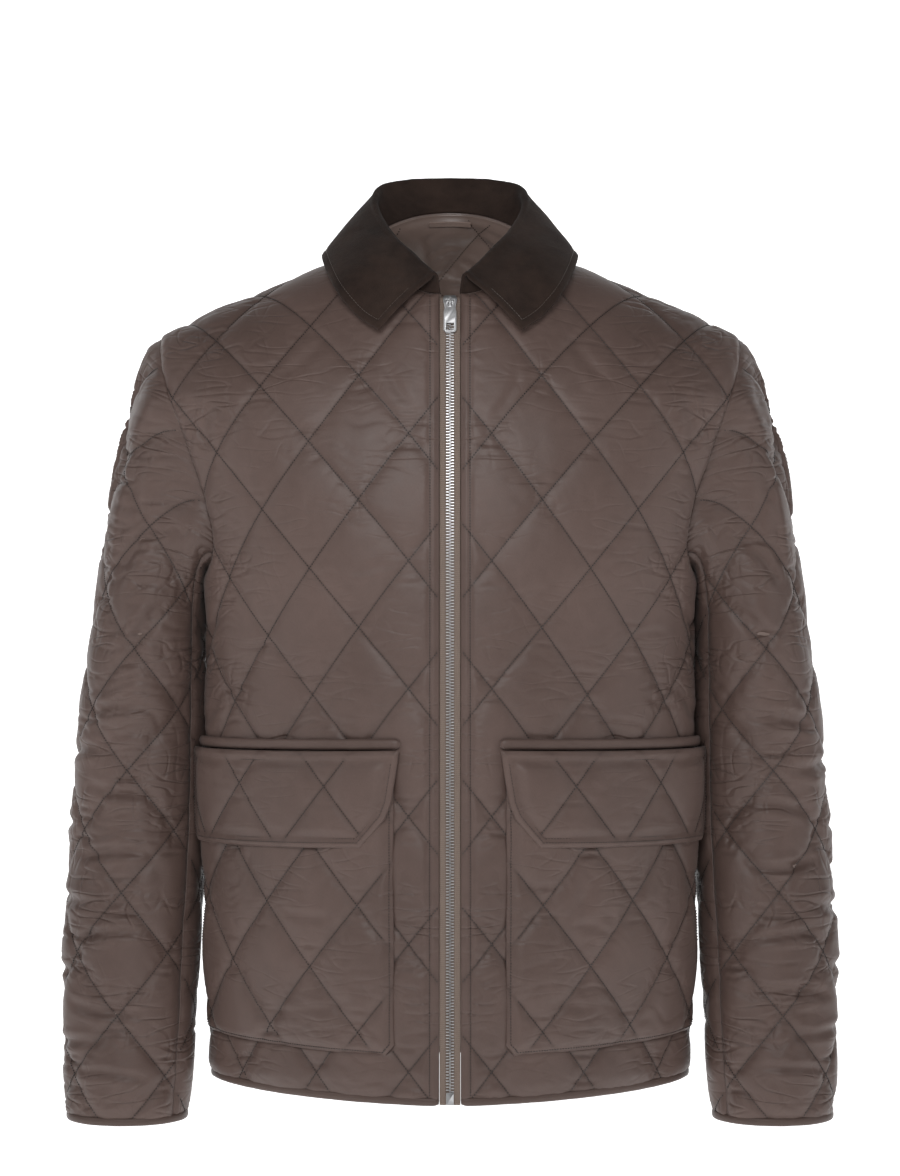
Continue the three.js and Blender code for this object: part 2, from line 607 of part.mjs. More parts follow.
function armholeStations() {
  const stations = [];
  for (const [face, way] of [[FRONT, -1], [BACK, 1]]) {
    const line = armholeLine(face);
    const surface = face === FRONT ? frontSurface : (u, v) => backSurface(-u, v);
    const places = line.map(([u, v]) => surface(u, v));
    const lengths = [0];
    for (let i = 1; i < places.length; i++) lengths.push(lengths[i - 1] + size(minus(places[i], places[i - 1])));
    places.forEach((place, i) => {
      const share = lengths[i] / lengths.at(-1);
      const [u, v] = line[i];
      const outward = surfaceNormal(surface, u, v).map((value) => value * (face === FRONT ? 1 : -1));
      const along = unit(minus(places[Math.min(i + 1, places.length - 1)], places[Math.max(i - 1, 0)]));
      const away = unit(cross(outward, along)).map((value) => value * way * -1);
      stations.push({ degrees: way * 180 * share, share, place, outward, away });
    });
  }
  const [tip] = stations.filter((station) => station.degrees === 0);
  const [, otherTip] = stations.filter((station) => station.degrees === 0);
  const [low, otherLow] = stations.filter((station) => Math.abs(station.degrees) === 180);
  for (const [a, b] of [[tip, otherTip], [low, otherLow]]) {
    for (const key of ["outward", "away"]) {
      const shared = unit(plus(a[key], b[key]));
      a[key] = shared;
      b[key] = shared;
    }
  }
  return stations.filter((station) => station !== otherTip).sort((a, b) => a.degrees - b.degrees);
}

const stations = armholeStations().map((station) => {
  const turn = radians(armholeTurn(station.share).degrees);
  const reach = ARMHOLE_GAP + (SEAM_THICK + UNDERARM_EASE) * Math.max(0, Math.sin(turn));
  const start = plus(station.place, station.away, reach);
  const leave = plus(station.away.map((value) => value * Math.cos(turn)), station.outward, Math.sin(turn));
  return { degrees: station.degrees, start, leave };
});

function stationAt(degrees) {
  const at = degrees > 180 ? degrees - 360 : degrees < -180 ? degrees + 360 : degrees;
  let i = stations.findIndex((station) => station.degrees >= at - 1e-9);
  i = Math.max(i, 1);
  const [a, b] = [stations[i - 1], stations[i]];
  const t = Math.min(1, Math.max(0, (at - a.degrees) / (b.degrees - a.degrees)));
  return { start: mixPoint(a.start, b.start, t), leave: mixPoint(a.leave, b.leave, t) };
}

function ringPoint(degrees, z) {
  const row = sleeveRow(z);
  const turn = radians(degrees);
  return [row.middleX + row.halfWide * Math.cos(turn), row.middleY + row.halfDeep * Math.sin(turn), z];
}

const FOOT_STEP = 10;
function capPoint(degrees, t) {
  const { start, leave } = stationAt(degrees);
  const end = ringPoint(degrees, CAP_FOOT_Z);
  const down = minus(ringPoint(degrees, CAP_FOOT_Z - FOOT_STEP), end).map((value) => value / FOOT_STEP);
  const span = size(minus(end, start));
  const pull = span * mix(CAP_PULL.outer, CAP_PULL.inner, Math.abs(degrees) / 180);
  const [first, second] = [leave.map((value) => value * pull), down.map((value) => value * span * CAP_PULL.foot)];
  return start.map((value, i) => (2 * t ** 3 - 3 * t ** 2 + 1) * value + (3 * t ** 2 - 2 * t ** 3) * end[i]
    + (t ** 3 - 2 * t ** 2 + t) * first[i] + (t ** 3 - t ** 2) * second[i]);
}

const CAP_STEPS = 24;
const capTables = new Map();
function capTable(degrees) {
  const key = degrees.toFixed(3);
  if (!capTables.has(key)) {
    const points = [{ arc: 0, x: 1, y: 0 }];
    let last = capPoint(degrees, 1);
    for (let i = 1; i <= CAP_STEPS; i++) {
      const t = 1 - i / CAP_STEPS;
      const point = capPoint(degrees, t);
      points.push({ arc: points.at(-1).arc + size(minus(point, last)), x: t, y: 0 });
      last = point;
    }
    capTables.set(key, points);
  }
  return capTables.get(key);
}

const RING_STEPS = 96;
function ringTable(z) {
  const row = sleeveRow(Math.min(z, CAP_FOOT_Z));
  const points = [];
  let arc = 0;
  let last = null;
  for (let i = 0; i <= RING_STEPS * 1.5; i++) {
    const degrees = -270 + (i * 360) / RING_STEPS;
    const point = [row.halfWide * Math.cos(radians(degrees)), row.halfDeep * Math.sin(radians(degrees))];
    if (last) arc += size(minus(point, last));
    points.push({ x: degrees, y: 0, arc });
    last = point;
  }
  const zero = readTable(points, "x", -90).arc;
  return points.map((point) => ({ ...point, arc: point.arc - zero }));
}

const sleeveU = (degrees, v) => readTable(ringTable(v), "x", degrees).arc;

function sleevePoint(u, v) {
  const degrees = readTable(ringTable(v), "arc", u).x;
  if (v <= CAP_FOOT_Z) return ringPoint(degrees, v);
  const table = capTable(degrees);
  return capPoint(degrees, readTable(table, "arc", v - CAP_FOOT_Z).x);
}

const sleeveBottomV = CUFF_Z + BINDING.high + SEAM_GAP;
const SLEEVE_DIAMOND = { ...DIAMOND, ...SLEEVE_DIAMOND_START };

function sleeveOutline(fromDegrees, toDegrees) {
  const side = (degrees) => {
    const capV = CAP_FOOT_Z + capTable(degrees).at(-1).arc;
    const count = Math.round((capV - sleeveBottomV) / OUTLINE_STEP);
    const line = [];
    for (let i = 0; i <= count; i++) {
      const v = mix(sleeveBottomV, capV, i / count);
      line.push([sleeveU(degrees, v), v]);
    }
    return line;
  };
  const top = [];
  const angles = stations.flatMap((station) => [station.degrees - 360, station.degrees, station.degrees + 360]);
  const inside = angles.filter((degrees) => degrees > fromDegrees + 1 && degrees < toDegrees - 1);
  const sorted = [...new Set(inside.map((degrees) => Number(degrees.toFixed(6))))].sort((a, b) => b - a);
  for (const degrees of [toDegrees, ...sorted, fromDegrees]) {
    const capV = CAP_FOOT_Z + capTable(degrees).at(-1).arc;
    top.push([sleeveU(degrees, capV), capV]);
  }
  const bottom = resample([[sleeveU(fromDegrees, sleeveBottomV), sleeveBottomV],
    [sleeveU(toDegrees, sleeveBottomV), sleeveBottomV]]);
  return inset(joinLines(bottom, side(toDegrees), top, side(fromDegrees).reverse()), SLEEVE_SEAM_GAP / 2);
}

function sleevePuff(u, v) {
  const degrees = readTable(ringTable(v), "arc", u).x;
  const facingBody = fade(-Math.cos(radians(degrees)) - 0.1, 0.6);
  return QUILT_PUFF * mix(1, PUFF_LEFT.underArm, facingBody);
}

const topSleeve = quiltedWall("top sleeve", {
  surface: sleevePoint,
  outline: sleeveOutline(SLEEVE_FRONT_SEAM, SLEEVE_BACK_SEAM),
  grid: SLEEVE_DIAMOND,
  puff: sleevePuff,
});
const underSleeve = quiltedWall("under sleeve", {
  surface: sleevePoint,
  outline: sleeveOutline(SLEEVE_BACK_SEAM - 360, SLEEVE_FRONT_SEAM),
  grid: SLEEVE_DIAMOND,
  puff: sleevePuff,
});
addPair("sleeve", "_top", topSleeve, SHELL_CLOTH);
addPair("sleeve", "_under", underSleeve, SHELL_CLOTH);

// Bindings round the cuffs and the hem
const bindingFaces = { inner: -BINDING.inside, outer: BINDING.thick - BINDING.inside };
const bindingHeights = [0, BINDING.high / 2, BINDING.high];

function cuffBinding() {
  const rows = [];
  for (let degrees = -180; degrees < 180; degrees += BINDING.turnStep) {
    const row = [];
    for (const height of bindingHeights) row.push(ringPoint(degrees, CUFF_Z + height));
    rows.push(row);
  }
  return gridWall(rows, { ...bindingFaces, closed: true });
}
addPair("cuff_binding", "", cuffBinding(), BINDING_CLOTH);

function hemBinding(face, fromU, toU) {
  const surface = face === FRONT ? frontSurface : backSurface;
  const rows = resample([[fromU, HEM_Z], [toU, HEM_Z]]).map(([u]) => {
    const row = [];
    for (const height of bindingHeights) row.push(surface(u, HEM_Z + height));
    return row;
  });
  return gridWall(rows, bindingFaces);
}
const hemEnd = { [FRONT]: sideSeamU(FRONT, HEM_Z), [BACK]: sideSeamU(BACK, HEM_Z) };
const HEM_END_GAP = 1;
const hemFront = hemBinding(FRONT, FRONT_EDGE + SEAM_GAP / 2, hemEnd[FRONT] - HEM_END_GAP);
addPair("hem_binding", "", hemFront, BINDING_CLOTH);
const hemBack = hemBinding(BACK, HEM_END_GAP - hemEnd[BACK], hemEnd[BACK] - HEM_END_GAP);
addSolid("hem_binding_back", hemBack, BINDING_CLOTH);

// Collar: stand up from the neck seam, over the fold and down the leaf, mirrored at the back
const collarRow = through(COLLAR_ROWS, "share");

function neckStations() {
  const places = [];
  for (const [face, line] of [[BACK, neckLine(BACK)], [FRONT, neckLine(FRONT).reverse()]]) {
    const surface = face === FRONT ? frontSurface : (u, v) => backSurface(-u, v);
    line.forEach(([u, v], i) => {
      if (face === FRONT && i === 0) return;
      const place = surface(u, v);
      const outward = surfaceNormal(surface, u, v).map((value) => value * (face === FRONT ? 1 : -1));
      places.push({ place, outward });
    });
  }
  const lengths = [0];
  for (let i = 1; i < places.length; i++) {
    lengths.push(lengths[i - 1] + size(minus(places[i].place, places[i - 1].place)));
  }
  return places.map((entry, i) => {
    const along = unit(minus(places[Math.min(i + 1, places.length - 1)].place, places[Math.max(i - 1, 0)].place));
    const away = unit(cross(entry.outward, along)).map((value) => -value);
    return { ...entry, away, share: lengths[i] / lengths.at(-1) };
  });
}

const neck = neckStations();
function neckAt(share) {
  let i = neck.findIndex((entry) => entry.share >= share - 1e-9);
  i = Math.max(i, 1);
  const [a, b] = [neck[i - 1], neck[i]];
  const t = (share - a.share) / (b.share - a.share);
  return {
    place: mixPoint(a.place, b.place, t),
    away: mixPoint(a.away, b.away, t),
    outward: mixPoint(a.outward, b.outward, t),
  };
}

function collarSection(share) {
  const { place, away, outward } = neckAt(share);
  const row = collarRow(share);
  const base = plus(plus(place, away, COLLAR.seamReach), outward, COLLAR.thick / 2 + COLLAR.seamLift);
  const fold = [row.foldX, row.foldY, row.foldZ];
  const edge = [row.edgeX, row.edgeY, row.edgeZ];
  const out = unit([edge[0] - base[0], edge[1] - base[1], 0]);
  const standTop = plus(plus(fold, out, -COLLAR.foldRadius), [0, 0, 1], -COLLAR.foldRadius);
  const leafTop = plus(plus(fold, out, COLLAR.foldRadius), [0, 0, 1], -COLLAR.foldRadius);
  const points = [base, mixPoint(base, standTop, 0.5), standTop];
  for (const turn of [45, 90, 135]) {
    const lean = radians(180 - turn);
    const rounded = plus(fold, out, COLLAR.foldRadius * Math.cos(lean));
    points.push(plus(rounded, [0, 0, 1], COLLAR.foldRadius * (Math.sin(lean) - 1)));
  }
  points.push(leafTop);
  const down = minus(edge, leafTop);
  const bulgeWay = unit(plus(out, [0, 0, 1], COLLAR.bulgeRise));
  for (const t of [0.25, 0.5, 0.75, 1]) {
    const bulge = COLLAR.leafBulge * 4 * t * (1 - t) * (1 - COLLAR.bulgeFade * share);
    points.push(plus(plus(leafTop, down, t), bulgeWay, bulge));
  }
  return points;
}

function collarSolid() {
  const rows = [];
  for (let i = -COLLAR.halfStations; i <= COLLAR.halfStations; i++) {
    const share = Math.abs(i) / COLLAR.halfStations;
    const points = collarSection(share);
    rows.push(i < 0 ? points.map(([x, y, z]) => [-x, y, z]) : points);
  }
  return gridWall(rows, { inner: -COLLAR.thick / 2, outer: COLLAR.thick / 2 });
}
addSolid("collar", collarSolid(), COLLAR_CLOTH);

// Pockets: a patch on the front, its flap over it and a rolled welt above the flap
const asOutline = (rows) => rows.map(({ u, v }) => [u, v]);
const closedResample = (outline, step) => {
  const lines = outline.map((point, i) => resample([point, outline[(i + 1) % outline.length]], step));
  return joinLines(...lines);
};

function pocketBulge(u, v) {
  const across = Math.min(1, Math.max(0, (u - POCKET.bulgeFromU) / POCKET.bulgeWide));
  const up = Math.min(1, Math.max(0, (v - POCKET.bulgeFromV) / POCKET.bulgeHigh));
  return POCKET.bulge * Math.sin(Math.PI * across) * Math.sin(Math.PI * up ** POCKET.bulgeSlack);
}

const pocketSide = (u, least) => mix(least, 1, fade(POCKET.sideU - u, SIDE_FADE));

const patch = quiltedWall("pocket patch", {
  surface: frontSurface,
  outline: closedResample(asOutline(PATCH_OUTLINE)),
  grid: PATCH_DIAMOND,
  lift: (u, v) => POCKET.patchLift + pocketBulge(u, v),
  puff: (u, v) => (v > POCKET.coveredV ? 0 : QUILT_PUFF * pocketSide(u, PUFF_LEFT.patchSide)),
});
addPair("pocket_patch", "", patch, POCKET_CLOTH);

const flap = quiltedWall("pocket flap", {
  surface: frontSurface,
  outline: closedResample(asOutline(FLAP_OUTLINE)),
  grid: FLAP_DIAMOND,
  lift: (u, v) => POCKET.flapLift + pocketBulge(u, Math.min(v, POCKET.flapBulgeV)),
  thick: POCKET.flapThick,
  fineInside: true,
  puff: (u) => POCKET.flapPuff * pocketSide(u, PUFF_LEFT.flapSide),
});
addPair("pocket_flap", "", flap, POCKET_CLOTH);

function weltSolid() {
  const rows = resample([[WELT.fromU, 0], [WELT.toU, 0]]).map(([u]) => {
    const lowV = mix(WELT.innerV, WELT.outerV, (u - WELT.fromU) / (WELT.toU - WELT.fromU));
    return [0, 0.5, 1].map((t) => {
      const v = lowV + WELT.high * t;
      return plus(frontSurface(u, v), surfaceNormal(frontSurface, u, v), WELT.thick / 2 + POCKET.weltLift);
    });
  });
  return gridWall(rows, { inner: -WELT.thick / 2, outer: WELT.thick / 2 });
}
addPair("pocket_welt", "", weltSolid(), POCKET_CLOTH);

// Zip: a flat band down the middle line, behind the front edges
function zipPlace(x, v, raise) {
  const middle = frontSurface(FRONT_EDGE, v);
  const normal = surfaceNormal(frontSurface, FRONT_EDGE, v);
  const level = unit([0, normal[1], normal[2]]);
  return plus([x, middle[1], middle[2]], level, raise);
}

function zipBand(fromX, toX, low, thick, fromV, toV) {
  const rows = [];
  const count = Math.max(1, Math.round((toV - fromV) / ZIP.step));
  for (let i = 0; i <= count; i++) {
    const v = mix(fromV, toV, i / count);
    rows.push([zipPlace(toX, v, low), zipPlace(fromX, v, low)]);
  }
  return gridWall(rows, { inner: 0, outer: thick });
}
const zipTopV = locate(FRONT, FRONT_EDGE, ZIP.topZ)[1];
const zipBottomV = HEM_Z + ZIP.bottomRise;
const tape = zipBand(ZIP.tapeFrom, ZIP.tapeTo, ZIP.tapeLift, ZIP.tapeThick, zipBottomV, zipTopV);
addPair("zip_tape", "", tape, TAPE_CLOTH);
const boxTopV = zipBottomV + ZIP_BOX.length;
const chainTopV = zipTopV - SLIDER.length - SEAM_GAP;
const chain = zipBand(-ZIP.chainHalf, ZIP.chainHalf, ZIP.chainLift, ZIP.chainThick, boxTopV + SEAM_GAP, chainTopV);
addSolid("zip_chain", chain, ZIP_METAL);
const box = zipBand(-ZIP.chainHalf, ZIP.chainHalf, ZIP_BOX.lift, ZIP_BOX.thick, zipBottomV, boxTopV);
addSolid("zip_box", box, ZIP_METAL);

// Slider with its bail, and the pull tab that hangs from it
const sliderV = zipTopV - SLIDER.length / 2;
function zipFrame(v, raise) {
  const origin = zipPlace(0, v, raise);
  const up = unit(minus(zipPlace(0, v + NORMAL_STEP, raise), zipPlace(0, v - NORMAL_STEP, raise)));
  const out = cross([-1, 0, 0], up).map((value) => -value);
  const [x, y, z] = [[1, 0, 0], up, out].map((axis) => new THREE.Vector3(...axis));
  return new THREE.Matrix4().makeBasis(x, y, z).setPosition(...origin);
}

function extruded(points, depth, holes = []) {
  const shape = new THREE.Shape(points.map(([x, y]) => new THREE.Vector2(x, y)));
  for (const hole of holes) shape.holes.push(new THREE.Path(hole.map(([x, y]) => new THREE.Vector2(x, y))));
  return new THREE.ExtrudeGeometry(shape, { depth, bevelEnabled: false });
}

const rectangle = (half, low, high) => [[-half, low], [half, low], [half, high], [-half, high]];

function asSolid(wasm, geometry) {
  geometry.deleteAttribute("normal");
  geometry.deleteAttribute("uv");
  const merged = mergeVertices(geometry);
  const vertProperties = merged.attributes.position.array;
  return new wasm.Manifold(new wasm.Mesh({ numProp: 3, vertProperties, triVerts: merged.index.array }));
}

function sliderGeometry(wasm) {
  const { length, topHalf, topEnd, bottomHalf, waist, thick } = SLIDER;
  const half = length / 2;
  const plate = extruded([
    [-bottomHalf, -half], [bottomHalf, -half], [bottomHalf + waist, -half / 3], [topHalf, half / 2],
    [topHalf * topEnd, half], [-topHalf * topEnd, half], [-topHalf, half / 2], [-bottomHalf - waist, -half / 3],
  ], thick);
  const { corner } = BAIL;
  const inner = BAIL.halfLength - BAIL.wall;
  const base = thick - BAIL.sunk;
  const hinge = thick + BAIL.hingeLift;
  const archTop = hinge + BAIL.arch;
  const bail = extruded([
    [-BAIL.halfLength, base], [-inner, base], [-inner, archTop - corner], [-inner + corner, archTop],
    [inner - corner, archTop], [inner, archTop - corner], [inner, base], [BAIL.halfLength, base],
    [BAIL.halfLength, archTop], [inner, archTop + BAIL.wall], [-inner, archTop + BAIL.wall],
    [-BAIL.halfLength, archTop],
  ], BAIL.halfWidth * 2);
  bail.applyMatrix4(new THREE.Matrix4().makeBasis(
    new THREE.Vector3(0, 1, 0), new THREE.Vector3(0, 0, 1), new THREE.Vector3(1, 0, 0),
  ).setPosition(-BAIL.halfWidth, 0, 0));
  const result = asSolid(wasm, plate).add(asSolid(wasm, bail)).getMesh();
  const geometry = new THREE.BufferGeometry();
  geometry.setAttribute("position", new THREE.BufferAttribute(result.vertProperties, 3));
  geometry.setIndex(new THREE.BufferAttribute(result.triVerts, 1));
  geometry.computeVertexNormals();
  return geometry;
}

function pullGeometry() {
  const { length, topHalf, neckHalf, neckDrop, halfWidth, shoulder, corner, thick } = PULL;
  const bar = thick / 2;
  const outline = [
    [-topHalf, bar], [-neckHalf, -neckDrop], [-halfWidth, -shoulder], [-halfWidth, -length + corner],
    [-halfWidth + corner, -length], [halfWidth - corner, -length], [halfWidth, -length + corner],
    [halfWidth, -shoulder], [neckHalf, -neckDrop], [topHalf, bar],
  ];
  const slot = rectangle(PULL.slotHalf, -PULL.slotEnd, -bar);
  const windowTop = -PULL.windowDrop;
  const window = rectangle(PULL.windowHalf, windowTop - PULL.windowHigh, windowTop);
  const geometry = extruded(outline.reverse(), thick, [slot, window]);
  geometry.translate(0, 0, -bar);
  return geometry;
}

const wasm = await Module();
wasm.setup();
const slider = new THREE.Mesh(sliderGeometry(wasm), ZIP_METAL);
slider.name = "zip_slider";
slider.applyMatrix4(zipFrame(sliderV, SLIDER.lift));
jacket.add(slider);
const pullTab = new THREE.Mesh(pullGeometry(), ZIP_METAL);
pullTab.name = "zip_pull_tab";
pullTab.applyMatrix4(new THREE.Matrix4().makeRotationX(radians(PULL.lean)));
pullTab.applyMatrix4(zipFrame(sliderV, SLIDER.lift + SLIDER.thick + BAIL.hingeLift));
jacket.add(pullTab);

// Lining of the upper back and the hanger loop on it
const backTopV = locate(BACK, 0, BACK_NECK_Z)[1];
function liningOutline() {
  const shoulder = shoulderLine(BACK).filter(([u]) => u < LINING.halfWidth);
  const lower = resample([shoulder.at(-1), [LINING.halfWidth, LINING.lowestV], [0, LINING.lowestV]]);
  const half = [...joinLines(neckLine(BACK), shoulder), ...lower];
  const otherHalf = half.slice(1, -1).map(([u, v]) => [-u, v]).reverse();
  return inset([...half, ...otherHalf].reverse(), LINING.inset);
}
const lining = quiltedWall("back lining", {
  surface: backSurface,
  outline: liningOutline(),
  grid: BACK_DIAMOND,
  lift: () => LINING.lift,
  thick: LINING.thick,
  puff: () => 0,
});
addSolid("back_lining", lining, LINING_CLOTH);

const hangerRows = resample([[-HANGER.halfLength, 0], [HANGER.halfLength, 0]], HANGER.step).map(([u]) => {
  return [0, 0.5, 1].map((t) => {
    const v = backTopV - HANGER.drop - HANGER.high * (1 - t);
    return plus(backSurface(u, v), surfaceNormal(backSurface, u, v), HANGER.lift);
  });
});
addSolid("hanger_loop", gridWall(hangerRows, { inner: -HANGER.thick, outer: 0 }), BINDING_CLOTH);

export default jacket;
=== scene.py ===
"""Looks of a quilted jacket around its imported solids. Sizes are millimetres until a mesh is made."""

import math

import bmesh
import bpy
import numpy as np
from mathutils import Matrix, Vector
from mathutils.geometry import delaunay_2d_cdt


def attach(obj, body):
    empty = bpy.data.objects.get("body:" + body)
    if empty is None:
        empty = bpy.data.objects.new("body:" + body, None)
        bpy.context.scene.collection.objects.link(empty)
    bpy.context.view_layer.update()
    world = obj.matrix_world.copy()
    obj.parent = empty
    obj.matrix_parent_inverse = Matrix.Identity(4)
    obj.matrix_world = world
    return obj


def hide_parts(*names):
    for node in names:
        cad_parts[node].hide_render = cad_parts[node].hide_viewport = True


MM = 0.001
FRONT, BACK = "front", "back"
SIDES = ("left", "right")

# Body: horizontal sections of the inner face
HEM_Z = -711
CUFF_Z = -746
UNDERARM_Z = -275
SHOULDER_TIP_X, SHOULDER_TIP_Z = 251, -71
SHOULDER_SLOPE = 0.441
NECK_RISE, NECK_RISE_REACH = 30, 110
NECK_HALF_WIDTH = 72
FRONT_NECK_Z, BACK_NECK_Z = -40, 46
RIDGE_Y, RIDGE_BEND = 8, 30
TOP_ROW_Z = -120
# z, half width, middle y, front, back, front power, back power
BODY_ROWS = [
    (-711, 206, 22, 148, 104, 1.6, 2.1),
    (-600, 208, 22, 148, 104, 1.6, 2.1),
    (-480, 208.5, 13, 139, 111, 1.65, 2.1),
    (-370, 208.5, 8, 133, 115, 1.8, 2.2),
    (-275, 208.5, 8, 133, 115, 2.25, 2.4),
    (-190, 225, 10, 135, 113, 2.8, 2.7),
    (-120, 262, 8, 132, 115, 3.2, 2.8),
]
# x, z of the armhole seams as seen from the front
FRONT_ARMHOLE = [(246, -96), (237, -126), (226, -150), (217, -175), (207, -207), (200, -237), (202, -262)]
BACK_ARMHOLE = [(247, -98), (238, -130), (227, -165), (217, -200), (207, -235), (204, -260)]

# Sleeve rings: z, middle x, middle y, half wide, half deep
SLEEVE_ROWS = [
    (-746, 281, 6, 49, 39),
    (-690, 279.5, 13, 52, 45),
    (-590, 278, 27, 55, 54),
    (-500, 273.5, 37, 55, 59),
    (-410, 269.5, 38, 52.5, 64),
    (-330, 263.5, 34, 47, 68),
]
CAP_FOOT_Z = -330
SLEEVE_FRONT_SEAM, SLEEVE_BACK_SEAM = -145, 135
UNDERARM_EASE = 2.6
ARMHOLE_TURN = [(0, -32), (0.08, -29), (0.24, -6), (0.5, 26), (0.8, 55), (1, 88)]
CAP_TUCK = 1.8
CAP_PULL_TOP, CAP_PULL_UNDER, CAP_PULL_FOOT = 0.75, 0.64, 0.95

# Collar, one half: share of the neck seam from the back, fold x y z, edge x y z
COLLAR_ROWS = [
    (0, 0, 64, 79, 0, 84, 22),
    (0.15, 37, 58, 77, 50, 76, 17),
    (0.28, 60, 40, 70, 88, 50, 11),
    (0.4, 66, 14, 55, 107, 14, 5),
    (0.52, 62, -10, 38, 109, -26, -3),
    (0.7, 48, -46, 14, 95, -78, -35),
    (0.87, 28, -76, -9, 77, -94, -58),
    (1, 13, -95, -24, 59, -107, -71),
]
COLLAR_THICK, COLLAR_REACH, COLLAR_FOLD, COLLAR_BULGE = 2.4, 1.2, 2.6, 5

# Cloth and quilting
SEAM_THICK = 3
SEAM_GAP = 0.1
SLEEVE_GAP = 0.3
HALF_WIDE, HALF_HIGH = 41.5, 52.6
LINE_LENGTH = math.hypot(HALF_WIDE, HALF_HIGH)
LINE_SPACING = 2 * HALF_WIDE * HALF_HIGH / LINE_LENGTH
# Where a crossing of stitch lines lies on each flat piece, and how much the lines sag to the side
FRONT_GRID, BACK_GRID, SLEEVE_GRID = (34, -263, 0.085), (0, -263, 0), (6, -337, 0)
PATCH_GRID, FLAP_GRID, LINING_GRID = (75.5, -547, 0), (102, -449, 0), (14, -8, 0)
SAG_FROM = 50
FRONT_EDGE, PLACKET_EDGE = 8.8, 16.4
BINDING_HIGH, BINDING_THICK, BINDING_INSIDE, BINDING_OVERLAP = 7, 4.6, 0.8, 3.5
# How high the padding stands, and how deep the tucks and ripples go
SHOULDER_HIGH, SHOULDER_VARIES, SHOULDER_REACH = 2.3, 0.5, 3.6
CROWN_HIGH, CROWN_VARIES, CROWN_POWER = 1.4, 0.9, 0.7
TUCK_DEEP, TUCK_REACH, SMILE_DEEP, RIPPLE_DEEP, DRAPE_HIGH = 2.0, 7, 1.5, 1.1, 0.6
# The first reach is how far from a stitch line the painted shade in the valleys reaches
CREASE_SHADE_REACH, RIM_REACH = 1.1, 2.4
# How far the sewing stands off the cloth
QUILTING_PROUD, STITCHING_PROUD = 0.12, 0.1

# Pockets on the flat front
PATCH_LIFT, FLAP_LIFT, WELT_LIFT, POCKET_BULGE = 5.5, 11.5, 5.4, 6
PATCH_OUTLINE = [(46, -430), (45.5, -662), (53, -671), (251, -668), (258, -660), (258, -433)]
FLAP_OUTLINE = [(39.5, -418.6), (42.5, -440), (46, -462), (51, -475), (71, -499), (249, -503), (259, -490),
                (260, -422.6)]
PATCH_IN_U, PATCH_OUT_U, PATCH_LOW_V = 46, 258, -671
WELT_FROM, WELT_TO, WELT_INNER_V, WELT_OUTER_V, WELT_HIGH, WELT_THICK = 40, 259, -418.2, -422.2, 9.2, 5.2

# Zip
TAPE_FROM, TAPE_TO, TAPE_LIFT, TAPE_THICK = 0.3, 8.4, 0.4, 1.1
ZIP_TOP_Z, SLIDER_LENGTH, BOX_LENGTH = -43, 12.5, 10
TOOTH_PITCH = 2.5
STITCH_PITCH = 2.4
HANGER_HALF, HANGER_HIGH, HANGER_LIFT = 21, 5.5, -7.6
LINING_LIFT, LINING_THICK, LINING_LOW_V, LINING_HALF = -5.4, 1.4, -70, 84


# Curves and tables

def hermite(t, start, end, leave, arrive):
    """The curve from `start` to `end` with these slopes where it leaves and arrives."""
    return ((2 * t**3 - 3 * t**2 + 1) * start + (3 * t**2 - 2 * t**3) * end
            + (t**3 - 2 * t**2 + t) * leave + (t**3 - t**2) * arrive)


def through(rows, at):
    """Columns of a table at the keys `at`, on a smooth curve through its rows."""
    table = np.array(rows, dtype=float)
    keys, values = table[:, 0], table[:, 1:]
    index = np.arange(len(keys))
    before, after = np.maximum(index - 1, 0), np.minimum(index + 1, len(keys) - 1)
    slopes = (values[after] - values[before]) / (keys[after] - keys[before])[:, None]
    at = np.clip(np.atleast_1d(at).astype(float), keys[0], keys[-1])
    i = np.clip(np.searchsorted(keys, at, side="right"), 1, len(keys) - 1)
    span = (keys[i] - keys[i - 1])[:, None]
    t = (at - keys[i - 1])[:, None] / span
    return hermite(t, values[i - 1], values[i], span * slopes[i - 1], span * slopes[i])


def unit(vectors):
    return vectors / np.maximum(np.linalg.norm(vectors, axis=-1, keepdims=True), 1e-12)


def fade(value, reach):
    t = np.clip(np.asarray(value, dtype=float) / reach, 0, 1)
    return t * t * (3 - 2 * t)


def blend(a, b, t):
    return a + (b - a) * t


def directions(points):
    """The unit direction of a line of points at each of them."""
    return unit(np.vstack([points[1] - points[0], points[2:] - points[:-2], points[-1] - points[-2]]))


def arc_lengths(points):
    steps = np.linalg.norm(np.diff(points, axis=0), axis=1)
    return np.concatenate([[0], np.cumsum(steps)])


def resample(points, step):
    points = np.array(points, dtype=float)
    lengths = arc_lengths(points)
    count = max(1, round(lengths[-1] / step))
    at = np.linspace(0, lengths[-1], count + 1)
    return np.stack([np.interp(at, lengths, column) for column in points.T], axis=1)


def smooth_line(points, samples=12):
    """A curve through the points that doesn't overshoot where they lie close."""
    points = np.array(points, dtype=float)
    ends = np.vstack([2 * points[0] - points[1], points, 2 * points[-1] - points[-2]])
    result = []
    for k in range(samples * len(points) + 1):
        at = (len(points) - 1) * k / (samples * len(points))
        i = min(int(at), len(points) - 2)
        t = at - i
        a, b, c, d = ends[i:i + 4]
        first, middle, last = (math.sqrt(np.linalg.norm(q - p)) for p, q in ((a, b), (b, c), (c, d)))
        leave = ((b - a) / first - (c - a) / (first + middle) + (c - b) / middle) * middle
        arrive = ((c - b) / middle - (d - b) / (middle + last) + (d - c) / last) * middle
        result.append(hermite(t, b, c, leave, arrive))
    return np.array(result)


# Repeatable unevenness

def scatter(*numbers):
    """A number from 0 to 1 that looks random, the same for the same numbers."""
    total = sum(np.asarray(n, dtype=float) * k for n, k in zip(numbers, (12.9898, 78.233, 37.719, 94.673)))
    value = np.sin(total) * 43758.5453
    return value - np.floor(value)


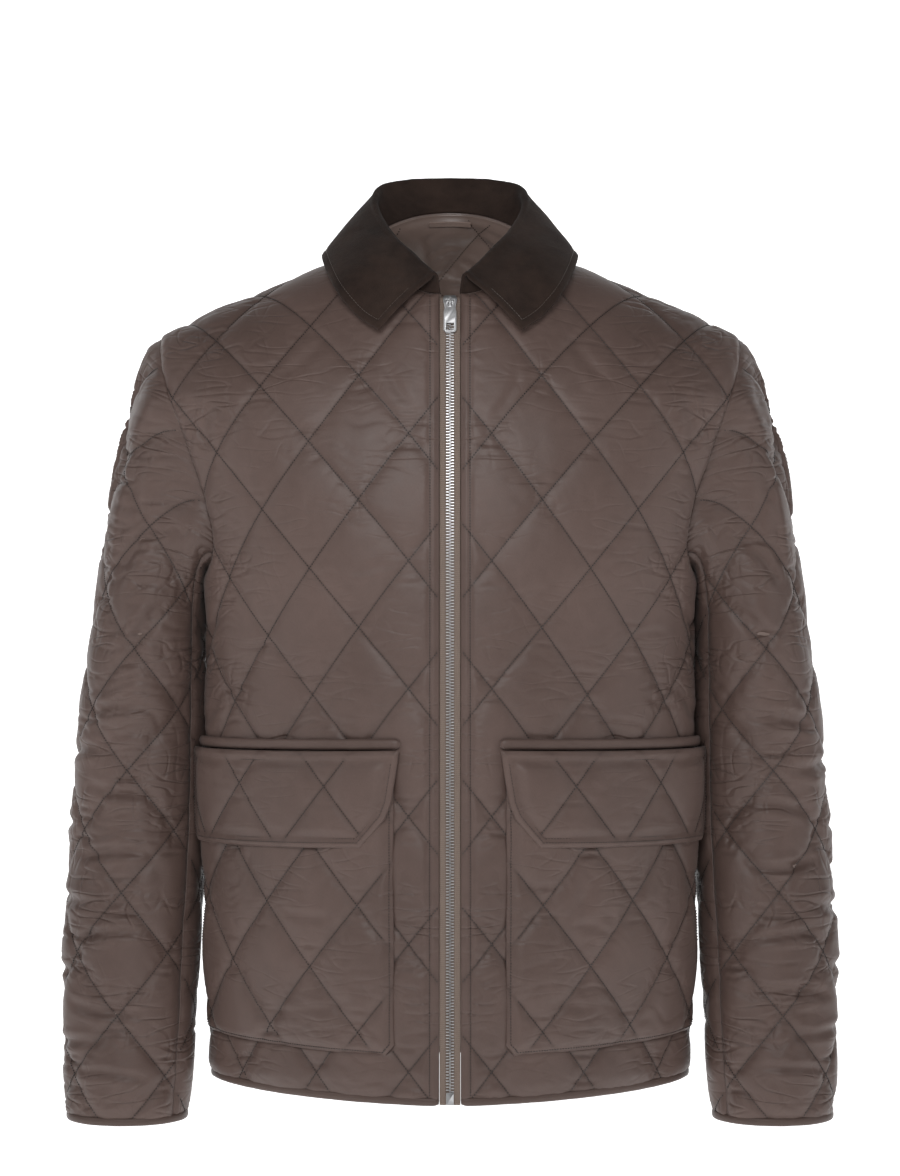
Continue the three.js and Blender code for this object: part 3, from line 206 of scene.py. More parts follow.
def unevenness(x, y, seed):
    """Soft noise from -1 to 1 with features about one unit across."""
    x, y = np.asarray(x, dtype=float), np.asarray(y, dtype=float)
    cell_x, cell_y = np.floor(x), np.floor(y)
    tx, ty = fade(x - cell_x, 1), fade(y - cell_y, 1)
    low = blend(scatter(cell_x, cell_y, seed), scatter(cell_x + 1, cell_y, seed), tx)
    high = blend(scatter(cell_x, cell_y + 1, seed), scatter(cell_x + 1, cell_y + 1, seed), tx)
    return blend(low, high, ty) * 2 - 1


# Surfaces: u runs round a piece, v runs up it

class Surface:
    """A smooth surface that is read from a fine grid of its points."""

    def __init__(self, us, vs, places):
        along_v, along_u = np.gradient(places, vs, us, axis=(0, 1))
        normals = unit(np.cross(along_u, along_v))
        self.table = np.concatenate([places, normals], axis=2)
        self.us, self.vs = us, vs

    def read(self, u, v):
        u, v = np.broadcast_arrays(np.atleast_1d(u).astype(float), np.atleast_1d(v).astype(float))
        at_u = np.clip((u - self.us[0]) / (self.us[1] - self.us[0]), 0, len(self.us) - 1.001)
        at_v = np.clip((v - self.vs[0]) / (self.vs[1] - self.vs[0]), 0, len(self.vs) - 1.001)
        i, j = at_u.astype(int), at_v.astype(int)
        tu, tv = (at_u - i)[:, None], (at_v - j)[:, None]
        low = blend(self.table[j, i], self.table[j, i + 1], tu)
        high = blend(self.table[j + 1, i], self.table[j + 1, i + 1], tu)
        found = blend(low, high, tv)
        return found[:, :3], unit(found[:, 3:])

    def place(self, u, v, raised=0):
        places, normals = self.read(u, v)
        return places + normals * np.broadcast_to(raised, len(places))[:, None]


SECTION_TURNS = np.pi / 4 * (1 - np.cos(np.pi * np.arange(61) / 60))
SECTION_TAIL = 60


def body_sections(face, v):
    """Level sections of the body, one row for each v: x, y and the length round from the middle."""
    row = through(BODY_ROWS, np.minimum(v, TOP_ROW_Z))
    depth, power = (-row[:, 2:3], row[:, 4:5]) if face == FRONT else (row[:, 3:4], row[:, 5:6])
    x = row[:, 0:1] * np.sin(SECTION_TURNS) ** (2 / power)
    y = row[:, 1:2] + depth * np.maximum(np.cos(SECTION_TURNS), 0) ** (2 / power)
    arcs = np.concatenate([np.zeros((len(row), 1)), np.cumsum(np.hypot(np.diff(x), np.diff(y)), axis=1)], axis=1)
    last = np.maximum(arcs[:, -1] - arcs[:, -2], 1e-9)
    onward = SECTION_TAIL / last
    x = np.column_stack([x, x[:, -1] + (x[:, -1] - x[:, -2]) * onward])
    y = np.column_stack([y, y[:, -1] + (y[:, -1] - y[:, -2]) * onward])
    return x, y, np.column_stack([arcs, arcs[:, -1] + SECTION_TAIL])


def ridge_z(x):
    """Height of the shoulder's ridge."""
    near = np.maximum(0, 1 - (x / NECK_RISE_REACH) ** 2)
    out = np.where(x < RIDGE_BEND, RIDGE_BEND / 2 + x**2 / (2 * RIDGE_BEND), x)
    return SHOULDER_TIP_Z + (SHOULDER_TIP_X - out) * SHOULDER_SLOPE + NECK_RISE * near**2


TURN_STEP = np.pi / 120
TURNS = TURN_STEP * np.arange(76)


def turn_steps(rise, run):
    middle = TURNS[:-1] + TURN_STEP / 2
    return np.hypot(rise[..., None] * np.cos(middle), run[..., None] * np.sin(middle)) * TURN_STEP


def turn_at_arc(arc, rise, run):
    steps = turn_steps(rise, run)
    covered = np.concatenate([np.zeros(steps.shape[:-1] + (1,)), np.cumsum(steps, axis=-1)], axis=-1)
    arc = np.broadcast_to(arc, rise.shape)
    index = np.clip((covered <= arc[..., None]).sum(axis=-1) - 1, 0, steps.shape[-1] - 1)
    start = np.take_along_axis(covered, index[..., None], axis=-1)[..., 0]
    step = np.take_along_axis(steps, index[..., None], axis=-1)[..., 0]
    return TURNS[index] + TURN_STEP * (arc - start) / step


def body_surface(face, us, vs):
    xs, ys, arcs = body_sections(face, vs)
    places = np.zeros((len(vs), len(us), 3))
    for j, v in enumerate(vs):
        places[j, :, 0] = np.interp(np.abs(us), arcs[j], xs[j])
        places[j, :, 1] = np.interp(np.abs(us), arcs[j], ys[j])
        places[j, :, 2] = v
    high = vs > UNDERARM_Z
    rise = ridge_z(places[high, :, 0]) - UNDERARM_Z
    run = places[high, :, 1] - RIDGE_Y
    turn = turn_at_arc(vs[high][:, None] - UNDERARM_Z, rise, np.abs(run))
    places[high, :, 1] = RIDGE_Y + run * np.cos(turn)
    places[high, :, 2] = UNDERARM_Z + rise * np.sin(turn)
    places[..., 0] *= np.sign(us) if face == FRONT else -np.sign(us)
    return Surface(us, vs, places)


GRID_STEP = 2.5
front_surface = body_surface(FRONT, np.arange(-20, 331, GRID_STEP), np.arange(-716, 81, GRID_STEP))
back_surface = body_surface(BACK, np.arange(-330, 331, GRID_STEP), np.arange(-716, 101, GRID_STEP))


def locate(face, x, z):
    """The place (u, v) on the flat body of a point known by its x and z."""
    v = z
    for _ in range(8):
        xs, ys, arcs = (column[0] for column in body_sections(face, np.array([v])))
        if z <= UNDERARM_Z:
            break
        rise = ridge_z(x) - UNDERARM_Z
        run = abs(np.interp(x, xs, ys) - RIDGE_Y)
        turn = math.asin(min(1, (z - UNDERARM_Z) / rise))
        middles = turn * (np.arange(80) + 0.5) / 80
        v = UNDERARM_Z + np.hypot(rise * np.cos(middles), run * np.sin(middles)).sum() * turn / 80
    xs, ys, arcs = (column[0] for column in body_sections(face, np.array([v])))
    return np.interp(x, xs, arcs), v


def side_seam_u(face, v):
    arcs = body_sections(face, np.atleast_1d(v).astype(float))[2]
    return arcs[:, -2]


# Seams of the body

LINE_STEP = 4
PANEL_BOTTOM_V = HEM_Z + BINDING_HIGH - BINDING_OVERLAP


def neck_line(face, step=LINE_STEP):
    from_u = FRONT_EDGE if face == FRONT else 0
    top_u, top_v = locate(face, NECK_HALF_WIDTH, float(ridge_z(NECK_HALF_WIDTH)))
    low_v = locate(face, from_u, FRONT_NECK_Z if face == FRONT else BACK_NECK_Z)[1]
    turns = np.linspace(0, np.pi / 2, 25)
    line = np.column_stack([blend(from_u, top_u, np.sin(turns)), blend(low_v, top_v, 1 - np.cos(turns))])
    return resample(line, step)


def shoulder_line(face, step=LINE_STEP):
    xs = np.linspace(NECK_HALF_WIDTH, SHOULDER_TIP_X, 11)
    return resample([locate(face, x, float(ridge_z(x))) for x in xs], step)


def armhole_line(face, step=LINE_STEP):
    rows = FRONT_ARMHOLE if face == FRONT else BACK_ARMHOLE
    tip = locate(face, SHOULDER_TIP_X, float(ridge_z(SHOULDER_TIP_X)))
    line = [tip, *(locate(face, x, z) for x, z in rows), (side_seam_u(face, UNDERARM_Z)[0], UNDERARM_Z)]
    return resample(smooth_line(line), step)


def side_line(face):
    vs = np.linspace(UNDERARM_Z, PANEL_BOTTOM_V, 110)
    return np.column_stack([side_seam_u(face, vs), vs])


def half_outline(face):
    hem = resample([(side_seam_u(face, PANEL_BOTTOM_V)[0], PANEL_BOTTOM_V),
                    (FRONT_EDGE if face == FRONT else 0, PANEL_BOTTOM_V)], LINE_STEP)
    lines = [neck_line(face), shoulder_line(face), armhole_line(face), side_line(face)]
    return np.vstack([*(line[:-1] for line in lines), hem])


def inset(outline, gap):
    """An outline moved inwards by a gap."""
    before, after = np.roll(outline, 1, axis=0), np.roll(outline, -1, axis=0)
    a, b = unit(outline - before), unit(after - outline)
    inward = unit(np.column_stack([-(a + b)[:, 1], (a + b)[:, 0]]))
    spread = np.maximum(0.5, -a[:, 1] * inward[:, 0] + a[:, 0] * inward[:, 1])
    return outline + inward / spread[:, None] * gap


def segment_distance(u, v, starts, ends):
    """How far each point lies from the nearest of some segments."""
    nearest = np.full(len(u), 1e9)
    for (au, av), (bu, bv) in zip(starts, ends):
        du, dv = bu - au, bv - av
        t = np.clip(((u - au) * du + (v - av) * dv) / max(du * du + dv * dv, 1e-12), 0, 1)
        nearest = np.minimum(nearest, (u - au - t * du) ** 2 + (v - av - t * dv) ** 2)
    return np.sqrt(nearest)


def edge_distance(u, v, outline):
    return segment_distance(u, v, outline, np.roll(outline, -1, axis=0))


def is_inside(u, v, outline):
    inside = np.zeros(len(u), dtype=bool)
    for (au, av), (bu, bv) in zip(outline, np.roll(outline, -1, axis=0)):
        if av == bv:
            continue
        crosses = (av > v) != (bv > v)
        inside ^= crosses & (u < (bu - au) * (v - av) / (bv - av) + au)
    return inside


# Quilting

def sag(u, first):
    """How far the stitch lines of the fronts hang down towards the side."""
    return first[2] * np.maximum(0, u - SAG_FROM)


def lattice(u, v, first):
    across, up = (u - first[0]) / HALF_WIDE, (v + sag(u, first) - first[1]) / HALF_HIGH
    return (across + up) / 2, (up - across) / 2


def lattice_reach(outline, first, parts=1):
    """The lowest and highest p and q within an outline's box, counted in parts of a cell."""
    low, high = outline.min(axis=0), outline.max(axis=0)
    corners = [lattice(u, v, first) for u in (low[0], high[0]) for v in (low[1], high[1])]
    return np.floor(np.min(corners, axis=0) * parts), np.ceil(np.max(corners, axis=0) * parts)


def lattice_point(p, q, first):
    u = first[0] + HALF_WIDE * (p - q)
    return u, first[1] + HALF_HIGH * (p + q) - sag(u, first)


def grooves(x, power=2.5):
    """Narrow dips between broad crests, from 0 to 1, out of soft noise."""
    return (1 - np.abs(x)) ** power


def line_puckers(across, along, side, line, seed):
    """Small tucks that run out square from a row of stitches."""
    distance = np.abs(across)
    wander = along / 7.5 + unevenness(distance / 12, line * 5.3 + side, seed + 4) * 0.8
    tucks = grooves(unevenness(wander, line * 7.7 + side * 3.1, seed))
    patchy = 0.35 + 0.65 * fade(unevenness(along / 45, line * 3.9 + side, seed + 9) + 0.2, 0.9)
    return tucks * patchy * np.exp(-distance / TUCK_REACH) * fade(distance, 2.2)


def crossing_smiles(p, q, seed):
    """Short bowed tucks a little above and below each crossing of two stitch lines."""
    n, m = np.round(p), np.round(q)
    du = HALF_WIDE * ((p - n) - (q - m))
    dv = HALF_HIGH * ((p - n) + (q - m))
    total = np.zeros_like(p)
    for k, side in enumerate((1, -1, 1, -1)):
        chance, away, reach, bow = (scatter(n, m, seed + k * 2.3 + part) for part in (0, 0.4, 0.9, 1.3))
        height = side * (6 + 9 * away + 6 * (k // 2))
        half = 5 + 9 * reach
        line = height + (bow - 0.35) * 0.035 * du**2 * side
        shape = np.exp(-((dv - line) / 1.5) ** 2) * np.exp(-((du - (bow - 0.5) * 6) / half) ** 2)
        total += np.where(chance > 0.35, shape, 0) * (0.5 + reach)
    return total


def quilting(u, v, first, seed, rough=1.0):
    """Height of the quilted cloth over its stitch lines, without its larger creases."""
    p, q = lattice(u, v, first)
    to_p, to_q = (p - np.round(p)) * LINE_SPACING, (q - np.round(q)) * LINE_SPACING
    cell = scatter(np.floor(p), np.floor(q), seed)
    shoulder = (1 - np.exp(-np.abs(to_p) / SHOULDER_REACH)) * (1 - np.exp(-np.abs(to_q) / SHOULDER_REACH))
    crown = (np.abs(np.sin(np.pi * p)) * np.abs(np.sin(np.pi * q))) ** CROWN_POWER
    height = shoulder * (SHOULDER_HIGH + SHOULDER_VARIES * cell) + crown * (CROWN_HIGH + CROWN_VARIES * cell)
    tucks = line_puckers(to_p, q * LINE_LENGTH, np.sign(to_p), np.round(p), seed)
    tucks = tucks + line_puckers(to_q, p * LINE_LENGTH, np.sign(to_q), np.round(q), seed + 31)
    drape = unevenness(u / 13 + unevenness(v / 50, 0 * u, seed + 2), v / 60, seed + 17) * crown
    level = unevenness(u / 34, v / 8 + unevenness(u / 25, 0 * u, seed + 3), seed + 23)
    ripples = grooves(level, 4) * fade(unevenness(u / 70, v / 50, seed + 29), 0.7)
    smiles = crossing_smiles(p, q, seed)
    height = height - rough * (TUCK_DEEP * tucks + SMILE_DEEP * smiles + RIPPLE_DEEP * ripples * shoulder)
    return height + DRAPE_HIGH * rough * drape


def hand_creases(u, v, rows):
    """Larger creases, each a trough or ridge: from u v, to u v, half width, height, bow."""
    total = np.zeros(len(u))
    for from_u, from_v, to_u, to_v, width, height, bow in rows:
        length = math.hypot(to_u - from_u, to_v - from_v)
        along_u, along_v = (to_u - from_u) / length, (to_v - from_v) / length
        s = ((u - from_u) * along_u + (v - from_v) * along_v) / length
        side = (v - from_v) * along_u - (u - from_u) * along_v - bow * 4 * s * (1 - s)
        taper = fade(np.minimum(s, 1 - s), 0.35)
        swell = np.exp(-((np.abs(side) - 2.1 * width) / width) ** 2)
        total += height * taper * (np.exp(-(side / width) ** 2) - 0.3 * swell)
    return total


# Meshes

SLIVER = 1e-4


def linked(name, data):
    found = bpy.data.objects.new(name, data)
    bpy.context.scene.collection.objects.link(found)
    return found


def triangulated(outline, points):
    """Triangles inside an outline, over its corners and the points inside it."""
    corners = np.vstack([outline, points])
    count = len(outline)
    edges = [(i, (i + 1) % count) for i in range(count)]
    found = delaunay_2d_cdt([Vector(corner) for corner in corners], edges, [], 1, 1e-5, False)
    if len(found[0]) != len(corners):
        raise ValueError(f"triangles need {len(found[0])} corners for {len(corners)} points")
    faces = np.array(found[2])
    a, b, c = (corners[faces[:, k]] for k in range(3))
    twice = (b - a)[:, 0] * (c - a)[:, 1] - (b - a)[:, 1] * (c - a)[:, 0]
    faces[twice < 0] = faces[twice < 0][:, ::-1]
    kept = is_inside(*((a + b + c) / 3).T, outline) & (np.abs(twice) > SLIVER)
    return corners, faces[kept]


def lattice_points(outline, first, parts, clearance):
    low, high = outline.min(axis=0), outline.max(axis=0)
    (low_p, low_q), (high_p, high_q) = lattice_reach(outline, first, parts)
    i, j = np.meshgrid(np.arange(low_p, high_p + 1), np.arange(low_q, high_q + 1))
    u, v = lattice_point(i.ravel() / parts, j.ravel() / parts, first)
    boxed = (u > low[0]) & (u < high[0]) & (v > low[1]) & (v < high[1])
    u, v = u[boxed], v[boxed]
    kept = is_inside(u, v, outline)
    u, v = u[kept], v[kept]
    return np.column_stack([u, v])[edge_distance(u, v, outline) > clearance]


RIM_RINGS = (1.2, 2.6, 4.4)


def fine_points(outline, first, parts, rows):
    """Points for a quilted face: rings along its edge, bands along extra stitch rows, the lattice inside."""
    rings = []
    for ring in RIM_RINGS:
        points = inset(outline, ring)
        kept = is_inside(*points.T, outline) & (edge_distance(*points.T, outline) > ring * 0.85)
        rings.append(points[kept])
    points = lattice_points(outline, first, parts, RIM_RINGS[-1] + 1.6)
    for row in rows:
        points = points[segment_distance(*points.T, row[:-1], row[1:]) > 3]
        dense = resample(row, 2.6)
        across = unit(np.gradient(dense, axis=0))[:, ::-1] * (1, -1)
        bands = np.vstack([dense + across * shift for shift in (-1.7, 0, 1.7)])
        kept = is_inside(*bands.T, outline) & (edge_distance(*bands.T, outline) > RIM_RINGS[-1] + 1.3)
        points = np.vstack([points, bands[kept]])
    return np.vstack([*rings, points])


def mesh_object(name, places, faces, uvs=None, marks=None, materials=(), slots=None):
    mesh = bpy.data.meshes.new(name)
    faces = np.asarray(faces, dtype=np.int32)
    mesh.vertices.add(len(places))
    mesh.vertices.foreach_set("co", (np.asarray(places) * MM).astype(np.float32).ravel())
    mesh.loops.add(faces.size)
    mesh.loops.foreach_set("vertex_index", faces.ravel())
    mesh.polygons.add(len(faces))
    mesh.polygons.foreach_set("loop_start", np.arange(len(faces), dtype=np.int32) * faces.shape[1])
    for material in materials:
        mesh.materials.append(material)
    if slots is not None:
        mesh.polygons.foreach_set("material_index", np.asarray(slots, dtype=np.int32))
    mesh.polygons.foreach_set("use_smooth", np.ones(len(faces), dtype=bool))
    mesh.update(calc_edges=True)
    if uvs is not None:
        layer = mesh.uv_layers.new(name="cloth")
        layer.data.foreach_set("uv", (np.asarray(uvs)[faces.ravel()] * MM).astype(np.float32).ravel())
    for key, values in (marks or {}).items():
        layer = mesh.attributes.new(key, "FLOAT", "POINT")
        layer.data.foreach_set("value", np.asarray(values, dtype=np.float32))
    return linked(name, mesh)


def mirrored(places, faces):
    return places * (-1, 1, 1), faces[:, ::-1]


def rim_faces(count, start):
    """Triangles between the corners of an outline and the same corners counted from `start`."""
    i, after = np.arange(count), (np.arange(count) + 1) % count
    return np.vstack([np.column_stack([i, start + i, start + after]), np.column_stack([i, start + after, after])])


INNER_PARTS, INNER_CLEARANCE = 5, 6


class Panel:
    """One cut of cloth: an outline on a surface, and how far its outer face stands off that surface.

    With `flip`, its mesh and sewing are the mirror image, for the wearer's right.
    """

    def __init__(self, surface, outline, first, relief, lift=None, thick=SEAM_THICK, rim=2.1, ruffle=None,
                 flip=False):
        self.surface, self.outline, self.first, self.flip = surface, outline, first, flip
        self.ruffle = ruffle or (lambda u, v: 0.5 + 0 * u)
        self.relief, self.thick, self.rim = relief, thick, rim
        self.lift = lift or (lambda u, v: 0 * u)

    def raised(self, u, v):
        edge = edge_distance(u, v, self.outline)
        rounding = self.rim * np.exp(-(edge / RIM_REACH) ** 2)
        return self.lift(u, v) + self.thick + self.relief(u, v, edge) - rounding

    def mesh(self, name, parts, rows=()):
        corners, outer_faces = triangulated(self.outline, fine_points(self.outline, self.first, parts, rows))
        flat_points = lattice_points(self.outline, self.first, INNER_PARTS, INNER_CLEARANCE)
        inner_corners, inner_faces = triangulated(self.outline, flat_points)
        outer = self.surface.place(*corners.T, self.raised(*corners.T))
        inner = self.surface.place(*inner_corners.T, self.lift(*inner_corners.T))
        p, q = lattice(*corners.T, self.first)
        to_line = np.minimum(np.abs(p - np.round(p)), np.abs(q - np.round(q))) * LINE_SPACING
        # The mark along the stitch lines is painted shade: strongest on the lines, fading off, it darkens the
        # cloth colour in the valleys
        marks = {"crease_shade": np.concatenate([np.exp(-to_line / CREASE_SHADE_REACH), np.zeros(len(inner))]),
                 "ruffle": np.concatenate([self.ruffle(*corners.T), np.zeros(len(inner))])}
        rim = rim_faces(len(self.outline), len(outer))
        faces = np.vstack([outer_faces, inner_faces[:, ::-1] + len(outer), rim])
        slots = np.concatenate([np.zeros(len(outer_faces)), np.ones(len(inner_faces)), np.zeros(len(rim))])
        places = np.vstack([outer, inner])
        if self.flip:
            places, faces = mirrored(places, faces)
        uvs = np.vstack([corners, inner_corners])
        return mesh_object(name, places, faces, uvs, marks, (CLOTH, LINING), slots)

    def size(self):
        width, length = np.ptp(self.outline, axis=0)
        u, v = self.outline.T
        area = abs(np.dot(u, np.roll(v, -1)) - np.dot(v, np.roll(u, -1))) / 2
        return (width * MM, length * MM), area * MM * MM

    def quilt_rows(self, clearance=3.0, skip=None):
        """Runs of points along every quilting line inside the outline."""
        (low_p, low_q), (high_p, high_q) = lattice_reach(self.outline, self.first)
        runs = []
        for family in range(2):
            span, reach = ((low_p, high_p), (low_q, high_q))[::1 if family == 0 else -1]
            for line in np.arange(span[0], span[1] + 1):
                along = np.arange(reach[0] * LINE_LENGTH, reach[1] * LINE_LENGTH, STITCH_PITCH / 2) / LINE_LENGTH
                p, q = (line + 0 * along, along) if family == 0 else (along, line + 0 * along)
                u, v = lattice_point(p, q, self.first)
                kept = is_inside(u, v, self.outline)
                kept &= edge_distance(u, v, self.outline) > clearance
                if skip is not None:
                    kept &= ~skip(u, v)
                runs += split_runs(np.column_stack([u, v]), kept)
        return runs

    def stitched(self, runs, proud):
        """The runs as lines in space, `proud` of the outer face."""
        lines = [self.surface.place(*run.T, self.raised(*run.T) + proud) for run in runs]
        return [line * (-1, 1, 1) for line in lines] if self.flip else lines


def split_runs(points, kept):
    """The unbroken runs of more than three points that are kept."""
    runs, start = [], None
    for i, inside in enumerate([*kept, False]):
        if inside and start is None:
            start = i
        elif not inside and start is not None:
            if i - start > 3:
                runs.append(points[start:i])
            start = None
    return runs


def shell(rows, inner, outer, rim, relief=0.0):
    """A wall over a grid of points, from `inner` to `outer` along its normals, its rim rounded outwards."""
    normals = unit(np.cross(np.gradient(rows, axis=0), np.gradient(rows, axis=1)))
    count, width = rows.shape[:2]
    lifted = outer + np.broadcast_to(relief, (count, width))[..., None]
    layers = [rows + normals * lifted, rows + normals * inner]
    places = np.concatenate([layer.reshape(-1, 3) for layer in layers])
    index = np.arange(count * width).reshape(count, width)
    corners = [index[:-1, :-1], index[1:, :-1], index[1:, 1:], index[:-1, 1:]]
    top = np.stack(corners, axis=-1).reshape(-1, 4)
    under = top[:, ::-1] + count * width
    ring = np.concatenate([index[:-1, 0], index[-1, :-1], index[:0:-1, -1], index[0, :0:-1]])
    inside = ring + count * width
    centre = (places[ring] + places[inside]) / 2
    along = np.roll(centre, -1, axis=0) - np.roll(centre, 1, axis=0)
    across = unit(np.cross(along, places[ring] - places[inside]))
    mid = len(places) + np.arange(len(ring))
    after = np.roll(np.arange(len(ring)), -1)
    sides = [np.column_stack([ring, mid, mid[after], ring[after]]),
             np.column_stack([mid, inside, inside[after], mid[after]])]
    return np.vstack([places, centre + across * rim]), np.vstack([top, under, *sides])


def shell_map(flat, places):
    """Flat places for both faces of a shell, and none for its rim."""
    return np.vstack([flat, flat, np.zeros((len(places) - 2 * len(flat), 2))])


ROLL_SIDES = 14


def roll(centres, outs, ups, half_thick, half_high, closed=False, power=2.6):
    """A rounded, slightly flattened strip along a path, its ends closed by domes."""
    sides = ROLL_SIDES
    turns = np.arange(sides) * 2 * np.pi / sides
    out = np.sign(np.cos(turns)) * np.abs(np.cos(turns)) ** (2 / power)
    up = np.sign(np.sin(turns)) * np.abs(np.sin(turns)) ** (2 / power)
    half_thick = np.broadcast_to(half_thick, len(centres)).astype(float).copy()
    half_high = np.broadcast_to(half_high, len(centres)).astype(float).copy()
    if not closed:
        for k, share in ((0, 0.55), (1, 0.9), (-2, 0.9), (-1, 0.55)):
            half_thick[k] *= share
            half_high[k] *= share
    rings = (centres[:, None] + outs[:, None] * (out[None, :, None] * half_thick[:, None, None])
             + ups[:, None] * (up[None, :, None] * half_high[:, None, None]))
    count = len(centres)
    places = rings.reshape(-1, 3)
    i = np.arange(count if closed else count - 1)[:, None]
    j = np.arange(sides)[None, :]
    after, beside = (i + 1) % count, (j + 1) % sides
    quads = np.stack([i * sides + j, after * sides + j, after * sides + beside, i * sides + beside], axis=-1)
    faces = as_triangles(quads.reshape(-1, 4))
    if not closed:
        around = np.arange(sides)
        beside = (around + 1) % sides
        first = np.column_stack([around, beside, np.full(sides, len(places))])
        final = (count - 1) * sides
        last = np.column_stack([final + beside, final + around, np.full(sides, len(places) + 1)])
        places = np.vstack([places, centres[0], centres[-1]])
        faces = np.vstack([faces, first, last])
    return places, faces


def as_triangles(quads):
    return np.vstack([quads[:, [0, 1, 2]], quads[:, [0, 2, 3]]])


def facing_out(found):
    """Turns every face of a closed piece outwards."""
    edit = bmesh.new()
    edit.from_mesh(found.data)
    bmesh.ops.recalc_face_normals(edit, faces=edit.faces)
    edit.to_mesh(found.data)
    edit.free()
    return found


def closed_piece(name, places, faces, uvs, material, flip=False):
    """A piece from triangles that close all round, as its mirror image with `flip`."""
    if flip:
        places, faces = mirrored(places, faces)
    return facing_out(mesh_object(name, places, faces, uvs, None, (material,)))


# Shader and node building

class Signal:
    """A node socket that takes part in Python arithmetic."""

    def __init__(self, recipe, socket):
        self.recipe, self.socket = recipe, socket

    def maths(self, operation, *others):
        values = {0: self, **{k + 1: other for k, other in enumerate(others)}}
        node = self.recipe.add("ShaderNodeMath", {"operation": operation}, values)
        return Signal(self.recipe, node.outputs[0])

    def __add__(self, other):
        return self.maths("ADD", other)

    __radd__ = __add__

    def __mul__(self, other):
        return self.maths("MULTIPLY", other)

    __rmul__ = __mul__

    def __sub__(self, other):
        return self.maths("SUBTRACT", other)

    def __rsub__(self, other):
        return (self * -1).maths("ADD", other)

    def clamped(self):
        return self.maths("MAXIMUM", 0.0).maths("MINIMUM", 1.0)


class Recipe:
    """A node tree that is filled node by node."""

    def __init__(self, tree):
        self.tree = tree

    def add(self, kind, settings=None, inputs=None):
        node = self.tree.nodes.new(kind)
        for key, value in (settings or {}).items():
            setattr(node, key, value)
        for key, value in (inputs or {}).items():
            if isinstance(value, Signal):
                self.tree.links.new(value.socket, node.inputs[key])
            elif isinstance(value, bpy.types.NodeSocket):
                self.tree.links.new(value, node.inputs[key])
            else:
                node.inputs[key].default_value = value
        return node


def linear(*srgb):
    """Scene colour of a screen colour given as 0 to 255."""
    parts = [(c / 255 / 12.92) if c <= 10 else ((c / 255 + 0.055) / 1.055) ** 2.4 for c in srgb]
    return (*parts, 1.0)


class Look(Recipe):
    """A material on one Principled shader."""

    def __init__(self, name, **constants):
        self.material = bpy.data.materials.new(name)
        self.material.use_nodes = True
        super().__init__(self.material.node_tree)
        self.shader = self.tree.nodes["Principled BSDF"]
        for key, value in constants.items():
            self.shader.inputs[key.replace("_", " ")].default_value = value

    def flat_map(self):
        return self.add("ShaderNodeUVMap", {"uv_map": "cloth"}).outputs["UV"]

    def in_space(self):
        return self.add("ShaderNodeTexCoord").outputs["Object"]

    def stretched(self, vector, scale):
        return self.add("ShaderNodeVectorMath", {"operation": "MULTIPLY"}, {0: vector, 1: scale}).outputs[0]

    def noise(self, vector, scale, detail=2.0, roughness=0.5):
        values = {"Vector": self.stretched(vector, scale), "Scale": 1.0, "Detail": detail, "Roughness": roughness}
        return Signal(self, self.add("ShaderNodeTexNoise", {}, values).outputs["Fac"])

    def folds(self, vector, scale):
        """Thin wandering lines, 1 along them and 0 between."""
        values = {"Vector": self.stretched(vector, scale), "Scale": 1.0, "Detail": 0.0, "Distortion": 0.35}
        level = Signal(self, self.add("ShaderNodeTexNoise", {}, values).outputs["Fac"])
        return (1 - (level - 0.5).maths("ABSOLUTE") * 12).maths("MAXIMUM", 0.0)

    def attribute(self, name):
        return Signal(self, self.add("ShaderNodeAttribute", {"attribute_name": name}).outputs["Fac"])

    def mixed(self, a, b, factor):
        node = self.add("ShaderNodeMix", {"data_type": "RGBA", "clamp_factor": True}, {"Factor": factor})
        for socket, value in zip([s for s in node.inputs if s.type == "RGBA"], (a, b)):
            socket.default_value = value
        return next(s for s in node.outputs if s.type == "RGBA")

    def parts(self, vector):
        node = self.add("ShaderNodeSeparateXYZ", {}, {"Vector": vector})
        return [Signal(self, socket) for socket in node.outputs]

    def finish(self, colour, roughness=None, height=None, bump=0.5, depth=0.0003):
        """The material, with these signals led into its shader."""
        self.tree.links.new(colour, self.shader.inputs["Base Color"])
        if roughness is not None:
            self.tree.links.new(roughness.socket, self.shader.inputs["Roughness"])
        if height is not None:
            node = self.add("ShaderNodeBump", {}, {"Height": height, "Strength": bump, "Distance": depth})
            self.tree.links.new(node.outputs["Normal"], self.shader.inputs["Normal"])
        return self.material


def shell_cloth(name, light, shade):
    look = Look(name, Sheen_Weight=0.05, Sheen_Roughness=0.4, Specular_IOR_Level=0.3)
    where = look.flat_map()
    threads = look.noise(where, (2600, 420, 1), 2)
    wefts = look.noise(where, (500, 3000, 1), 2)
    clouds = look.noise(where, (11, 9, 1), 3)
    fine = look.noise(where, (120, 90, 1), 2)
    crease_shade, ruffle = look.attribute("crease_shade"), look.attribute("ruffle")
    # Along the stitch lines the tone is pulled towards the shade colour: painted shade in the valleys
    tone = (clouds * 0.7 + threads * 0.35 + wefts * 0.2 + fine * 0.25 - 0.3 - crease_shade * 0.3).clamped()
    folds = look.folds(where, (26, 95, 1)) + look.folds(where, (60, 34, 1)) * 0.6
    patchy = ((look.noise(where, (17, 24, 1), 1) - 0.4) * 4).clamped()
    height = (threads + wefts) * 0.05 + fine * 0.16 - folds * patchy * ruffle * 1.1
    return look.finish(look.mixed(shade, light, tone.socket), clouds * 0.2 + fine * 0.1 + 0.33, height.socket,
                       0.7, 0.0011)


